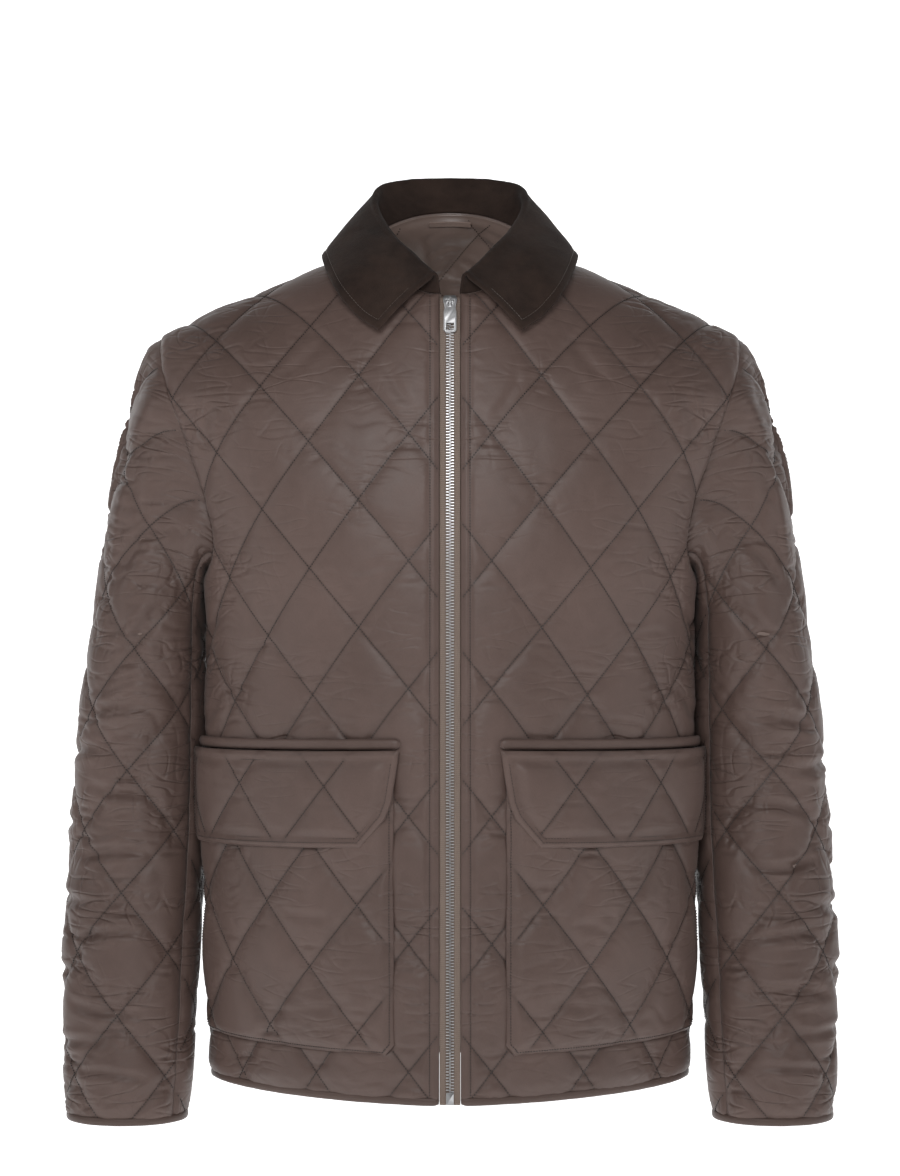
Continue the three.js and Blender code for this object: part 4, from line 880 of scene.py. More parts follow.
def brushed_cloth():
    look = Look("collar_nap", Sheen_Weight=0.04, Sheen_Roughness=0.55, Specular_IOR_Level=0.1)
    where = look.in_space()
    nap = look.noise(where, (1500, 1500, 1500), 3)
    brushed = look.noise(where, (22, 30, 16), 3, 0.6)
    lint = look.noise(where, (160, 160, 160), 2)
    tone = (brushed * 1.5 + nap * 0.5 + lint * 0.4 - 0.75).clamped()
    colour = look.mixed(COLLAR_SHADE, COLLAR_LIGHT, tone.socket)
    return look.finish(colour, nap * 0.1 + 0.8, (nap + lint * 0.8).socket, 0.8, 0.0006)


def satin_lining():
    look = Look("lining_satin", Sheen_Weight=0.1, Specular_IOR_Level=0.6)
    where = look.flat_map()
    threads = look.noise(where, (400, 2800, 1), 2)
    clouds = look.noise(where, (20, 14, 1), 3)
    tone = (clouds + threads * 0.3 - 0.25).clamped()
    return look.finish(look.mixed(LINING_SHADE, LINING_LIGHT, tone.socket), clouds * 0.15 + 0.3,
                       (threads + clouds).socket, 0.2, 0.0003)


def herringbone_tape():
    look = Look("tape_herringbone", Specular_IOR_Level=0.3)
    across, along, _ = look.parts(look.flat_map())
    zigzag = (across * (1000 / 2.7)).maths("PINGPONG", 0.5) * 2
    ribs = ((along * (1000 / 1.6) + zigzag * 1.6) * (2 * math.pi)).maths("SINE") * 0.5 + 0.5
    fuzz = look.noise(look.flat_map(), (1500, 1500, 1), 2)
    tone = (ribs * 0.95 + fuzz * 0.3 - 0.12).clamped()
    colour = look.mixed(TAPE_SHADE, TAPE_LIGHT, tone.socket)
    return look.finish(colour, fuzz * 0.15 + 0.65, ribs.socket, 0.6, 0.0003)


def sewing_thread(name, light, shade):
    look = Look(name, Sheen_Weight=0.1, Specular_IOR_Level=0.4)
    twist = look.noise(look.in_space(), (2500, 2500, 2500), 1)
    return look.finish(look.mixed(shade, light, twist.socket), twist * 0.2 + 0.4, twist.socket, 0.4, 0.0001)


def plated_metal(name, tone, rough):
    look = Look(name, Metallic=1.0)
    where = look.in_space()
    scratches = look.noise(where, (900, 90, 900), 3)
    dull = look.noise(where, (220, 220, 220), 2)
    colour = look.mixed((tone * 0.82, tone * 0.82, tone * 0.84, 1), (tone, tone, tone * 1.01, 1), dull.socket)
    return look.finish(colour, scratches * 0.12 + dull * 0.1 + rough, scratches.socket, 0.1, 0.0001)


def studio_white(name, glow):
    look = Look(name, Roughness=0.9)
    grain = look.noise(look.in_space(), (3, 3, 3), 2)
    look.shader.inputs["Emission Color"].default_value = (1, 1, 1, 1)
    look.shader.inputs["Emission Strength"].default_value = glow
    return look.finish(look.mixed((0.86, 0.86, 0.86, 1), (0.9, 0.9, 0.9, 1), grain.socket))


CLOTH_LIGHT, CLOTH_SHADE = linear(99, 81, 75), linear(68, 54, 49)
TRIM_LIGHT, TRIM_SHADE = linear(88, 72, 66), linear(66, 52, 47)
COLLAR_LIGHT, COLLAR_SHADE = linear(58, 45, 39), linear(28, 20, 17)
LINING_LIGHT, LINING_SHADE = linear(130, 111, 103), linear(92, 77, 70)
LOOP_LIGHT, LOOP_SHADE = linear(150, 130, 121), linear(112, 95, 87)
TAPE_LIGHT, TAPE_SHADE = linear(146, 129, 118), linear(58, 48, 42)

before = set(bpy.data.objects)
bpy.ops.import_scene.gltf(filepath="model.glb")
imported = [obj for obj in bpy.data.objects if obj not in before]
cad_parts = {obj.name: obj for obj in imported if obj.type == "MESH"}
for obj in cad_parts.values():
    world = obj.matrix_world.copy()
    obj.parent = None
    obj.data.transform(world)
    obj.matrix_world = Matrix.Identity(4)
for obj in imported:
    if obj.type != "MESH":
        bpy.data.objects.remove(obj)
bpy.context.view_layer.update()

CLOTH = shell_cloth("shell_nylon", CLOTH_LIGHT, CLOTH_SHADE)
TRIM = shell_cloth("binding_nylon", TRIM_LIGHT, TRIM_SHADE)
LOOP = shell_cloth("loop_nylon", LOOP_LIGHT, LOOP_SHADE)
NAP = brushed_cloth()
LINING = satin_lining()
TAPE = herringbone_tape()
# The quilting thread is a darker brown than the cloth; part of that darkness is painted shade, standing in for
# the needle holes the stitches sink into
THREAD = sewing_thread("quilting_thread", linear(40, 31, 27), linear(24, 18, 15))
TOP_THREAD = sewing_thread("top_thread", linear(52, 41, 36), linear(30, 23, 20))
STEEL = plated_metal("zip_plating", 0.5, 0.4)
TEETH_STEEL = plated_metal("teeth_plating", 0.78, 0.22)


def dress(found, node_name, body="jacket"):
    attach(found, body)
    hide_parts(node_name)
    return found


def sheet(found, panel):
    flat, area = panel.size()


# Sewing: stitches follow lines in space

def open_tree(name, inputs, output):
    """A geometry tree with these sockets: its recipe and what comes in."""
    tree = bpy.data.node_groups.new(name, "GeometryNodeTree")
    for title, kind in inputs.items():
        tree.interface.new_socket(title, in_out="INPUT", socket_type=kind)
    tree.interface.new_socket(output, in_out="OUTPUT", socket_type="NodeSocketGeometry")
    recipe = Recipe(tree)
    return recipe, recipe.add("NodeGroupInput").outputs


def points_along(recipe, lines, pitch):
    curve = recipe.add("GeometryNodeMeshToCurve", {}, {"Mesh": lines})
    return recipe.add("GeometryNodeCurveToPoints", {"mode": "LENGTH"},
                      {"Curve": curve.outputs["Curve"], "Length": pitch}).outputs


def close_tree(recipe, points, axis, item, material, output):
    """Sets the item on each point, with its axis along the line, gives it its material and leads it out."""
    turned = recipe.add("FunctionNodeAlignRotationToVector", {"axis": axis}, {"Vector": points["Tangent"]})
    placed = recipe.add("GeometryNodeInstanceOnPoints", {},
                        {"Points": points["Points"], "Instance": item, "Rotation": turned.outputs["Rotation"]})
    real = recipe.add("GeometryNodeRealizeInstances", {}, {"Geometry": placed.outputs["Instances"]})
    dressed = recipe.add("GeometryNodeSetMaterial", {},
                         {"Geometry": real.outputs["Geometry"], "Material": material})
    recipe.add("NodeGroupOutput", {}, {output: dressed.outputs["Geometry"]})
    return recipe.tree


def stitch_tree():
    sockets = {"Lines": "NodeSocketGeometry", "Pitch": "NodeSocketFloat", "Stitch length": "NodeSocketFloat",
               "Thread width": "NodeSocketFloat", "Thread": "NodeSocketMaterial"}
    recipe, given = open_tree("stitches_along_lines", sockets, "Stitches")
    points = points_along(recipe, given["Lines"], given["Pitch"])
    radius = recipe.add("ShaderNodeMath", {"operation": "MULTIPLY"}, {0: given["Thread width"], 1: 0.5})
    thread = recipe.add("GeometryNodeMeshCylinder", {},
                        {"Vertices": 5, "Radius": radius.outputs[0], "Depth": given["Stitch length"]})
    return close_tree(recipe, points, "Z", thread.outputs["Mesh"], given["Thread"], "Stitches")


def line_object(name, lines):
    mesh = bpy.data.meshes.new(name)
    starts = np.cumsum([0] + [len(line) for line in lines])
    edges = [(start + i, start + i + 1) for start, line in zip(starts, lines) for i in range(len(line) - 1)]
    mesh.from_pydata((np.vstack(lines) * MM).tolist(), edges, [])
    return linked(name, mesh)


def grown(source, tree, values, name):
    """The result of a node tree on `source`, as a plain mesh, with `source` removed."""
    modifier = source.modifiers.new("made", "NODES")
    modifier.node_group = tree
    for item in tree.interface.items_tree:
        if item.in_out == "INPUT" and item.name in values:
            modifier[item.identifier] = values[item.name]
    bpy.context.view_layer.update()
    evaluated = source.evaluated_get(bpy.context.evaluated_depsgraph_get())
    mesh = bpy.data.meshes.new_from_object(evaluated)
    if mesh.materials[0] is None:
        mesh.materials.pop(index=0)
        mesh.polygons.foreach_set("material_index", np.zeros(len(mesh.polygons), dtype=np.int32))
    mesh.name = name
    bpy.data.objects.remove(source)
    return linked(name, mesh)


STITCHES = stitch_tree()


def sewing(name, lines, thread, pitch=STITCH_PITCH, length=1.1, width=1.05):
    """Stitches of a thread along lines in space, with their pitch, length and width."""
    values = {"Pitch": pitch * MM, "Stitch length": length * MM, "Thread width": width * MM, "Thread": thread}
    found = grown(line_object(name + "_lines", lines), STITCHES, values, name)
    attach(found, "jacket")
    return found


# Fronts

FRONT_CREASES = {
    "left": [
        (60, -95, 30, -150, 4, -1.0, 5), (95, -60, 140, -118, 5, -1.1, -6),
        (190, -110, 205, -170, 5, -1.3, 5),
        (150, -330, 200, -322, 3, -1.0, 4), (165, -372, 225, -384, 3.4, -1.2, -5),
        (40, -300, 85, -286, 3, -0.7, 4),
        (215, -300, 262, -340, 5, -1.8, 6), (205, -360, 262, -400, 5, -1.6, -5),
        (120, -395, 180, -402, 2.6, -0.8, 3),
        (22, -560, 40, -566, 2.2, -0.9, 2), (20, -610, 41, -600, 2.2, -0.9, -2),
        (24, -500, 40, -494, 2, -0.8, 1),
        (225, -210, 235, -270, 5, -1.5, 5),
    ],
    "right": [
        (55, -88, 28, -140, 4, -0.9, 4), (100, -66, 150, -112, 5, -1.0, -5),
        (195, -120, 210, -185, 5, -1.4, 6),
        (140, -340, 195, -336, 3, -0.9, 4), (170, -384, 228, -372, 3.4, -1.2, 5),
        (45, -260, 90, -272, 3, -0.8, -4),
        (210, -310, 262, -352, 5, -1.7, 6), (212, -372, 262, -405, 5, -1.5, -5),
        (70, -398, 130, -404, 2.6, -0.8, 3),
        (22, -540, 40, -533, 2.2, -0.9, 2), (20, -590, 41, -598, 2.2, -0.9, -2),
        (24, -470, 40, -476, 2, -0.8, 1),
        (228, -200, 236, -262, 5, -1.5, 5),
    ],
}


def under_pocket(u, v):
    """Where a patch or flap hides the front, a little inside their edges."""
    return (u > 47) & (u < 256) & (v > -667) & (v < -425)


def seam_fade(edge, low=0.35, reach=13):
    """How much of the quilting is left towards a seam."""
    return blend(low, 1, fade(edge, reach))


def side_fade(face, u, v):
    """How much of the quilting is left towards the side seam, below the arm."""
    beside = fade(side_seam_u(face, np.minimum(v, UNDERARM_Z)) - np.abs(u), 55)
    below = fade(UNDERARM_Z + 25 - v, 50)
    return blend(1, blend(0.85, 1, beside), below)


def seam_puckers(edge, along, seed, strength, reach=9):
    """Tucks that run in from a seam."""
    tucks = grooves(unevenness(along / 6.5 + unevenness(edge / 10, along / 30, seed) * 0.5, 0 * edge, seed + 1))
    return strength * tucks * np.exp(-edge / reach) * fade(edge, 3)


def front_relief(side):
    seed = 3.0 if side == "left" else 11.0

    def relief(u, v, edge):
        calm = blend(1, 0.5, fade(230 - u, 90) * fade(v + 400, 90))
        quilted = blend(0.25, 1, fade(u - PLACKET_EDGE, 4)) * seam_fade(edge) * side_fade(FRONT, u, v) * calm
        flattened = blend(1, 0.25, fade(u - 44, 4) * fade(258 - u, 4) * fade(v + 671, 4) * fade(-424 - v, 4))
        height = quilting(u, v, FRONT_GRID, seed) * quilted * flattened
        height = height + hand_creases(u, v, FRONT_CREASES[side]) * flattened
        row = u - PLACKET_EDGE
        tucks = grooves(unevenness(v / 5.5 + unevenness(v / 30, 0 * v, seed), 0 * v, seed + 41), 2)
        patchy = 0.3 + 0.7 * fade(unevenness(v / 60, 0 * v, seed + 8) + 0.3, 0.9)
        height = height - tucks * patchy * 1.1 * np.exp(-np.abs(row) / 9) * fade(np.abs(row), 2.5) * (row > 0)
        height = height - tucks * 0.3 * np.exp(-np.abs(row) / 3) * fade(np.abs(row), 2) * (row < 0)
        height = height + 0.5 * fade(PLACKET_EDGE - u, 2) - 0.5 * np.exp(-(row / 1.0) ** 2)
        return height - seam_puckers(edge, u + v, seed, 1.1) * (u > PLACKET_EDGE + 4)
    return relief


def front_ruffle(u, v):
    low_placket = fade(44 - u, 14) * fade(-250 - v, 200)
    return 0.3 + 0.8 * fade(u - 110, 110) + 0.55 * low_placket + 0.3 * fade(-330 - v, 60) * fade(v + 425, 20)


def front_panels():
    line = half_outline(FRONT)
    edge = resample([line[-1], line[0]], LINE_STEP)
    outline = inset(np.vstack([line, edge[1:-1]])[::-1], SEAM_GAP / 2)
    return {side: Panel(front_surface, outline, FRONT_GRID, front_relief(side), ruffle=front_ruffle,
                        flip=side == "right") for side in SIDES}


FRONTS = front_panels()
PLACKET_ROW = np.array([(PLACKET_EDGE, -705.0), (PLACKET_EDGE, 20.0)])


def make_fronts():
    made = {}
    for side, panel in FRONTS.items():
        found = panel.mesh(f"front_cloth_{side}", 30, [PLACKET_ROW])
        made[side] = dress(found, f"front_{side}")
        runs = panel.quilt_rows(1.5, skip=under_pocket)
        sewing(f"front_quilting_{side}", panel.stitched(runs, QUILTING_PROUD), THREAD)
        placket = np.column_stack([np.full(320, PLACKET_EDGE), np.linspace(-702, 8, 320)])
        placket = placket[is_inside(*placket.T, inset(panel.outline, 3))]
        sewing(f"placket_stitching_{side}", panel.stitched([placket], STITCHING_PROUD), THREAD)
    return made


# Back

BACK_CREASES = [
    (-180, -90, -120, -150, 6, -1.2, 6), (180, -90, 115, -160, 6, -1.3, -6), (-60, 5, 60, 2, 7, -0.9, -8),
    (-230, -330, -170, -352, 5, -1.5, 5), (232, -320, 165, -345, 5, -1.5, -5),
    (-220, -420, -150, -410, 4, -1.1, 4),
    (215, -430, 160, -452, 4, -1.2, -4), (-40, -480, 70, -470, 5, -0.9, 6),
    (-90, -600, 10, -610, 5, -1.0, -6),
    (60, -560, 150, -572, 4, -0.9, 5), (-200, -560, -130, -545, 4, -1.0, 5),
    (-205, -230, -175, -290, 6, -1.4, 5),
    (205, -225, 178, -296, 6, -1.4, -5),
]


def back_relief(u, v, edge):
    quilted = seam_fade(edge) * side_fade(BACK, u, v)
    height = quilting(u, v, BACK_GRID, 21.0) * quilted + hand_creases(u, v, BACK_CREASES)
    return height - seam_puckers(edge, u - v, 21.0, 0.5)


def back_panel():
    half = half_outline(BACK)
    other = half[1:-1][::-1] * (-1, 1)
    return Panel(back_surface, inset(np.vstack([half, other])[::-1], SEAM_GAP / 2), BACK_GRID, back_relief)


BACK_CUT = back_panel()


def make_back():
    found = BACK_CUT.mesh("back_cloth", 18)
    sewing("back_quilting", BACK_CUT.stitched(BACK_CUT.quilt_rows(), QUILTING_PROUD), THREAD)
    return dress(found, "back")


# Sleeves

def armhole_stations():
    """Where each line of the sleeve leaves the armhole, and which way, by degrees round it."""
    rows = []
    for face, surface, way in ((FRONT, front_surface, -1), (BACK, back_surface, 1)):
        line = armhole_line(face, 8)
        u, v = line[:, 0] * (1 if face == FRONT else -1), line[:, 1]
        places, outward = surface.read(u, v)
        share = arc_lengths(places) / arc_lengths(places)[-1]
        along = directions(places)
        away = unit(np.cross(outward, along)) * way * -1
        rows += [[way * 180 * s, s, *p, *o, *a] for s, p, o, a in zip(share, places, outward, away)]
    table = np.array(rows)
    half = len(armhole_line(FRONT, 8))
    for a, b in ((0, half), (half - 1, len(table) - 1)):
        for columns in (slice(5, 8), slice(8, 11)):
            table[[a, b], columns] = unit(table[a, columns] + table[b, columns])
    table = np.delete(table, half, axis=0)
    table = table[np.argsort(table[:, 0])]
    turn = np.radians(through(ARMHOLE_TURN, table[:, 1])[:, 0])[:, None]
    place, outward, away = table[:, 2:5], table[:, 5:8], table[:, 8:11]
    start = place + away * (0.5 + (SEAM_THICK + UNDERARM_EASE) * np.maximum(0, np.sin(turn)))
    leave = away * np.cos(turn) + outward * np.sin(turn)
    return table[:, 0], np.hstack([start, leave])


STATION_DEGREES, STATION_TABLE = armhole_stations()


def ring_point(degrees, z):
    row = through(SLEEVE_ROWS, z)
    turn = np.radians(degrees)
    z = np.broadcast_to(z, np.shape(turn))
    return np.stack([row[:, 0] + row[:, 2] * np.cos(turn), row[:, 1] + row[:, 3] * np.sin(turn), z], axis=-1)


def cap_points(degrees, t):
    """Points of the cap on the line at `degrees`, t from 0 at the armhole to 1 at its foot."""
    wrapped = (degrees + 180) % 360 - 180
    start, leave = np.split(np.array([np.interp(wrapped, STATION_DEGREES, c) for c in STATION_TABLE.T]), 2)
    end = ring_point(np.array([degrees]), CAP_FOOT_Z)[0]
    down = (ring_point(np.array([degrees]), CAP_FOOT_Z - 10)[0] - end) / 10
    span = np.linalg.norm(end - start)
    pull = span * blend(CAP_PULL_TOP, CAP_PULL_UNDER, abs(wrapped) / 180)
    t = np.asarray(t)[:, None]
    return hermite(t, start, end, leave * pull, down * span * CAP_PULL_FOOT)


CAP_TS = 1 - np.arange(25) / 24


def cap_arcs(degrees):
    return arc_lengths(cap_points(degrees, CAP_TS))


RING_DEGREES = -270 + np.arange(145) * 3.75


def ring_arcs(z):
    row = through(SLEEVE_ROWS, min(z, CAP_FOOT_Z))[0]
    turn = np.radians(RING_DEGREES)
    arcs = arc_lengths(np.column_stack([row[2] * np.cos(turn), row[3] * np.sin(turn)]))
    return arcs - np.interp(-90, RING_DEGREES, arcs)


def sleeve_u(degrees, v):
    return float(np.interp(degrees, RING_DEGREES, ring_arcs(v)))


def sleeve_surface():
    us, vs = np.arange(-150, 251, GRID_STEP), np.arange(-751, 1, GRID_STEP)
    places = np.zeros((len(vs), len(us), 3))
    for j, v in enumerate(vs[vs <= CAP_FOOT_Z]):
        degrees = np.interp(us, ring_arcs(v), RING_DEGREES)
        places[j] = ring_point(degrees, v)
    high = vs > CAP_FOOT_Z
    foot = ring_arcs(CAP_FOOT_Z)
    for i, degrees in enumerate(np.interp(us, foot, RING_DEGREES)):
        arcs = cap_arcs(degrees)
        tail = (CAP_TS[-1] - CAP_TS[-2]) / (arcs[-1] - arcs[-2]) * 30
        t = np.interp(vs[high] - CAP_FOOT_Z, [*arcs, arcs[-1] + 30], [*CAP_TS, CAP_TS[-1] + tail])
        places[high, i] = cap_points(degrees, t)
    return Surface(us, vs, places)


SLEEVE_SURFACE = sleeve_surface()
SLEEVE_BOTTOM_V = CUFF_Z + BINDING_HIGH - BINDING_OVERLAP


def sleeve_outline(from_degrees, to_degrees):
    """The cut of a sleeve between two seams, given by degrees round it."""
    def side(degrees):
        cap_v = CAP_FOOT_Z + cap_arcs(degrees)[-1] + CAP_TUCK
        vs = np.linspace(SLEEVE_BOTTOM_V, cap_v, round((cap_v - SLEEVE_BOTTOM_V) / LINE_STEP) + 1)
        return np.array([(sleeve_u(degrees, v), v) for v in vs])
    around = np.linspace(to_degrees, from_degrees, round((to_degrees - from_degrees) / 2.2))
    top = [(sleeve_u(degrees, CAP_FOOT_Z), CAP_FOOT_Z + cap_arcs(degrees)[-1] + CAP_TUCK) for degrees in around]
    bottom = resample([(sleeve_u(from_degrees, SLEEVE_BOTTOM_V), SLEEVE_BOTTOM_V),
                       (sleeve_u(to_degrees, SLEEVE_BOTTOM_V), SLEEVE_BOTTOM_V)], LINE_STEP)
    lines = [bottom, side(to_degrees), resample(top, LINE_STEP), side(from_degrees)[::-1]]
    return inset(np.vstack([line[:-1] for line in lines]), SLEEVE_GAP / 2)


SLEEVE_CREASES = {
    "left": [
        (-20, -395, 60, -410, 4.5, -1.8, 5), (10, -440, 95, -428, 4.5, -1.7, -6),
        (-25, -470, 40, -482, 4, -1.6, 5),
        (60, -500, 140, -490, 4, -1.5, 5), (-22, -525, 50, -516, 4, -1.7, -5),
        (20, -562, 105, -574, 4.5, -1.8, 6),
        (-24, -590, 45, -584, 3.6, -1.5, 4), (50, -612, 130, -604, 4, -1.5, -5),
        (-22, -632, 60, -640, 4, -1.6, 5),
        (0, -668, 85, -660, 3.6, -1.4, -4), (-20, -696, 50, -702, 3.2, -1.2, 3),
        (70, -700, 140, -690, 3.4, -1.2, 4),
        (-20, -300, 15, -345, 5, -1.8, 5), (-8, -235, 22, -290, 5, -1.6, 5),
        (100, -380, 170, -392, 4.5, -1.4, 5),
        (110, -545, 190, -536, 4.5, -1.4, -5), (30, -160, 70, -230, 6, -1.2, 6),
        (150, -440, 205, -452, 4.5, -1.4, 4),
    ],
    "right": [
        (-22, -385, 55, -398, 4.5, -1.7, 5), (15, -425, 100, -436, 4.5, -1.7, 6),
        (-24, -462, 45, -452, 4, -1.6, -5),
        (55, -492, 135, -503, 4, -1.5, 5), (-24, -512, 55, -522, 4, -1.7, 5),
        (25, -555, 100, -545, 4.5, -1.7, -6),
        (-22, -580, 50, -590, 3.6, -1.6, 4), (45, -618, 125, -626, 4, -1.5, 5),
        (-24, -648, 55, -640, 4, -1.6, -5),
        (5, -676, 90, -684, 3.6, -1.4, 4), (-22, -706, 45, -700, 3.2, -1.2, 3),
        (75, -712, 140, -704, 3.4, -1.2, -4),
        (-22, -290, 12, -350, 5, -1.8, 5), (-6, -225, 26, -280, 5, -1.6, 5),
        (105, -372, 172, -360, 4.5, -1.4, 5),
        (115, -530, 190, -540, 4.5, -1.4, 5), (35, -150, 72, -220, 6, -1.2, 6),
        (150, -455, 205, -445, 4.5, -1.4, 4),
    ],
}


def sleeve_relief(side):
    seed = 47.0 if side == "left" else 59.0

    def relief(u, v, edge):
        middles = sleeve_u(-180, -500), sleeve_u(180, -500)
        facing = fade(30 - np.minimum(*(np.abs(u - middle) for middle in middles)) / 2.2, 22)
        full = blend(1, 0.5, facing) * seam_fade(edge, 0.3)
        height = quilting(u, v, SLEEVE_GRID, seed, 1.7) * full
        height = height + 1.9 * hand_creases(u, v, SLEEVE_CREASES[side]) * blend(1, 0.3, facing)
        return height - seam_puckers(edge, u * 0.4 + v, seed, 1.4, 14)
    return relief


SLEEVES = {
    (side, part): Panel(SLEEVE_SURFACE, outline, SLEEVE_GRID, sleeve_relief(side),
                        ruffle=lambda u, v: 1.3 + 0 * u, flip=side == "right")
    for part, outline in (("top", sleeve_outline(SLEEVE_FRONT_SEAM, SLEEVE_BACK_SEAM)),
                          ("under", sleeve_outline(SLEEVE_BACK_SEAM - 360, SLEEVE_FRONT_SEAM)))
    for side in SIDES
}


def make_sleeves():
    made = {}
    for (side, part), panel in SLEEVES.items():
        found = panel.mesh(f"sleeve_cloth_{side}_{part}", 30 if part == "top" else 14)
        made[side, part] = dress(found, f"sleeve_{side}_{part}")
        sewing(f"sleeve_quilting_{side}_{part}", panel.stitched(panel.quilt_rows(), QUILTING_PROUD), THREAD)
    return made


# Bindings at cuffs and hem

def binding_sizes(count, seed):
    ripple = unevenness(np.arange(count) * 0.45, np.zeros(count), seed)
    return BINDING_THICK / 2 * (1 + 0.07 * ripple), BINDING_HIGH / 2 * (1 + 0.03 * ripple)


def strip_map(count, step, ends=2):
    along = np.repeat(np.arange(count) * step, ROLL_SIDES)
    around = np.tile(np.arange(ROLL_SIDES) * 1.4, count)
    return np.column_stack([np.append(around, np.zeros(ends)), np.append(along, np.zeros(ends))])


def make_cuff_bindings():
    made = {}
    for side in SIDES:
        degrees = np.arange(0, 360, 4)
        centres = ring_point(degrees, CUFF_Z + BINDING_HIGH / 2)
        wide, deep = SLEEVE_ROWS[0][3:]
        turn = np.radians(degrees)
        outs = unit(np.column_stack([np.cos(turn) / wide, np.sin(turn) / deep, 0 * turn]))
        ups = np.tile([0.0, 0.0, 1.0], (len(degrees), 1))
        half_thick, half_high = binding_sizes(len(degrees), 5.0)
        centres = centres + outs * (BINDING_THICK / 2 - BINDING_INSIDE)
        strip = roll(centres, outs, ups, half_thick, half_high, closed=True)
        found = closed_piece(f"cuff_roll_{side}", *strip, strip_map(len(degrees), 3, 0), TRIM, side == "right")
        made[side] = dress(found, f"cuff_binding_{side}")
    return made


def hem_roll(name, face, from_u, to_u, flip, node_name):
    surface = front_surface if face == FRONT else back_surface
    us = np.linspace(from_u, to_u, round(abs(to_u - from_u) / 3) + 1)
    centres, outs = surface.read(us, HEM_Z + BINDING_HIGH / 2)
    ups = surface.read(us, HEM_Z + BINDING_HIGH)[0] - surface.read(us, HEM_Z)[0]
    half_thick, half_high = binding_sizes(len(us), 8.0)
    centres = centres + outs * (BINDING_THICK / 2 - BINDING_INSIDE)
    strip = roll(centres, outs, unit(ups), half_thick, half_high)
    return dress(closed_piece(name, *strip, strip_map(len(us), 3), TRIM, flip), node_name)


def make_hem_bindings():
    end_front, end_back = side_seam_u(FRONT, HEM_Z)[0], side_seam_u(BACK, HEM_Z)[0]
    made = {side: hem_roll(f"hem_roll_{side}", FRONT, FRONT_EDGE + 0.2, end_front - 1, side == "right",
                           f"hem_binding_{side}") for side in SIDES}
    made["back"] = hem_roll("hem_roll_back", BACK, 1 - end_back, end_back - 1, False, "hem_binding_back")
    return made


# Collar

def neck_stations():
    places, outs = [], []
    for face, line in ((BACK, neck_line(BACK, 6)), (FRONT, neck_line(FRONT, 6)[::-1])):
        surface, sign = (front_surface, 1) if face == FRONT else (back_surface, -1)
        found, outward = surface.read(line[:, 0] * sign, line[:, 1])
        first = 1 if face == FRONT else 0
        places.append(found[first:])
        outs.append(outward[first:])
    places, outs = np.vstack(places), np.vstack(outs)
    along = directions(places)
    away = -unit(np.cross(outs, along))
    share = arc_lengths(places) / arc_lengths(places)[-1]
    return share, np.hstack([places, away, outs])


def collar_section(share, table):
    station = np.array([np.interp(share, table[0], column) for column in table[1].T])
    place, away, outward = np.split(station, 3)
    row = through(COLLAR_ROWS, share)[0]
    fold, edge = row[:3], row[3:]
    base = place + away * COLLAR_REACH + outward * (COLLAR_THICK / 2 - 0.2)
    out = unit(np.array([edge[0] - base[0], edge[1] - base[1], 0]))
    up = np.array([0, 0, 1.0])
    stand_top = fold - out * COLLAR_FOLD - up * COLLAR_FOLD
    leaf_top = fold + out * COLLAR_FOLD - up * COLLAR_FOLD
    points = [base, blend(base, stand_top, 0.5), stand_top]
    for turn in (45, 90, 135):
        lean = math.radians(180 - turn)
        points.append(fold + out * COLLAR_FOLD * math.cos(lean) + up * COLLAR_FOLD * (math.sin(lean) - 1))
    points.append(leaf_top)
    bulge_way = unit(out + up * 0.6)
    for t in (0.25, 0.5, 0.75, 1):
        bulge = bulge_way * COLLAR_BULGE * 4 * t * (1 - t) * (1 - 0.6 * share)
        points.append(leaf_top + (edge - leaf_top) * t + bulge)
    return smooth_line(points, 10)


COLLAR_CREASES = [
    (-250, 40, -200, 62, 7, -0.9, 6), (-215, 30, -160, 44, 8, 0.9, -5), (-185, 70, -150, 50, 7, -0.8, 4),
    (245, 42, 190, 60, 7, -0.9, -6), (212, 32, 150, 42, 8, 0.9, 5), (188, 72, 150, 52, 7, -0.8, -4),
    (-60, 70, 60, 72, 9, -0.6, 4),
]


def collar_grid():
    table = neck_stations()
    shares = np.linspace(-1, 1, 191)
    rows = []
    for share in shares:
        line = resample(collar_section(abs(share), table), 1.0)
        at = np.linspace(0, 1, 71)
        line = np.stack([np.interp(at, np.linspace(0, 1, len(line)), column) for column in line.T], axis=1)
        rows.append(line * (-1, 1, 1) if share < 0 else line)
    return np.array(rows)


COLLAR_GRID = collar_grid()
COLLAR_STITCH_IN = 6.5
COLLAR_THREAD = sewing_thread("collar_thread", linear(92, 80, 72), linear(60, 51, 46))


def collar_flat():
    """Distances on the collar: along its length from the middle, across from the neck seam, in from its edge."""
    across = np.array([arc_lengths(row) for row in COLLAR_GRID])
    along = np.array([arc_lengths(COLLAR_GRID[:, j]) for j in range(COLLAR_GRID.shape[1])]).T
    from_ends = np.minimum(along, along[-1][None, :] - along)
    from_edge = np.minimum(across[:, -1][:, None] - across, from_ends)
    return along - along[-1][None, :] / 2, across, from_edge


def collar_relief():
    along, across, from_edge = collar_flat()
    border = -0.55 * np.exp(-((from_edge - COLLAR_STITCH_IN) / 1.1) ** 2)
    border = border + 0.35 * np.exp(-((from_edge - 3.2) / 2.2) ** 2)
    tucks = grooves(unevenness(along / 6, across / 60, 71.0)) * np.exp(-np.abs(from_edge - COLLAR_STITCH_IN) / 4)
    flat = hand_creases(along.ravel(), across.ravel(), COLLAR_CREASES).reshape(along.shape)
    soft = unevenness(along / 28, across / 22, 73.0) * 0.5
    return border - 0.22 * tucks + (flat + soft) * fade(from_edge, 10)


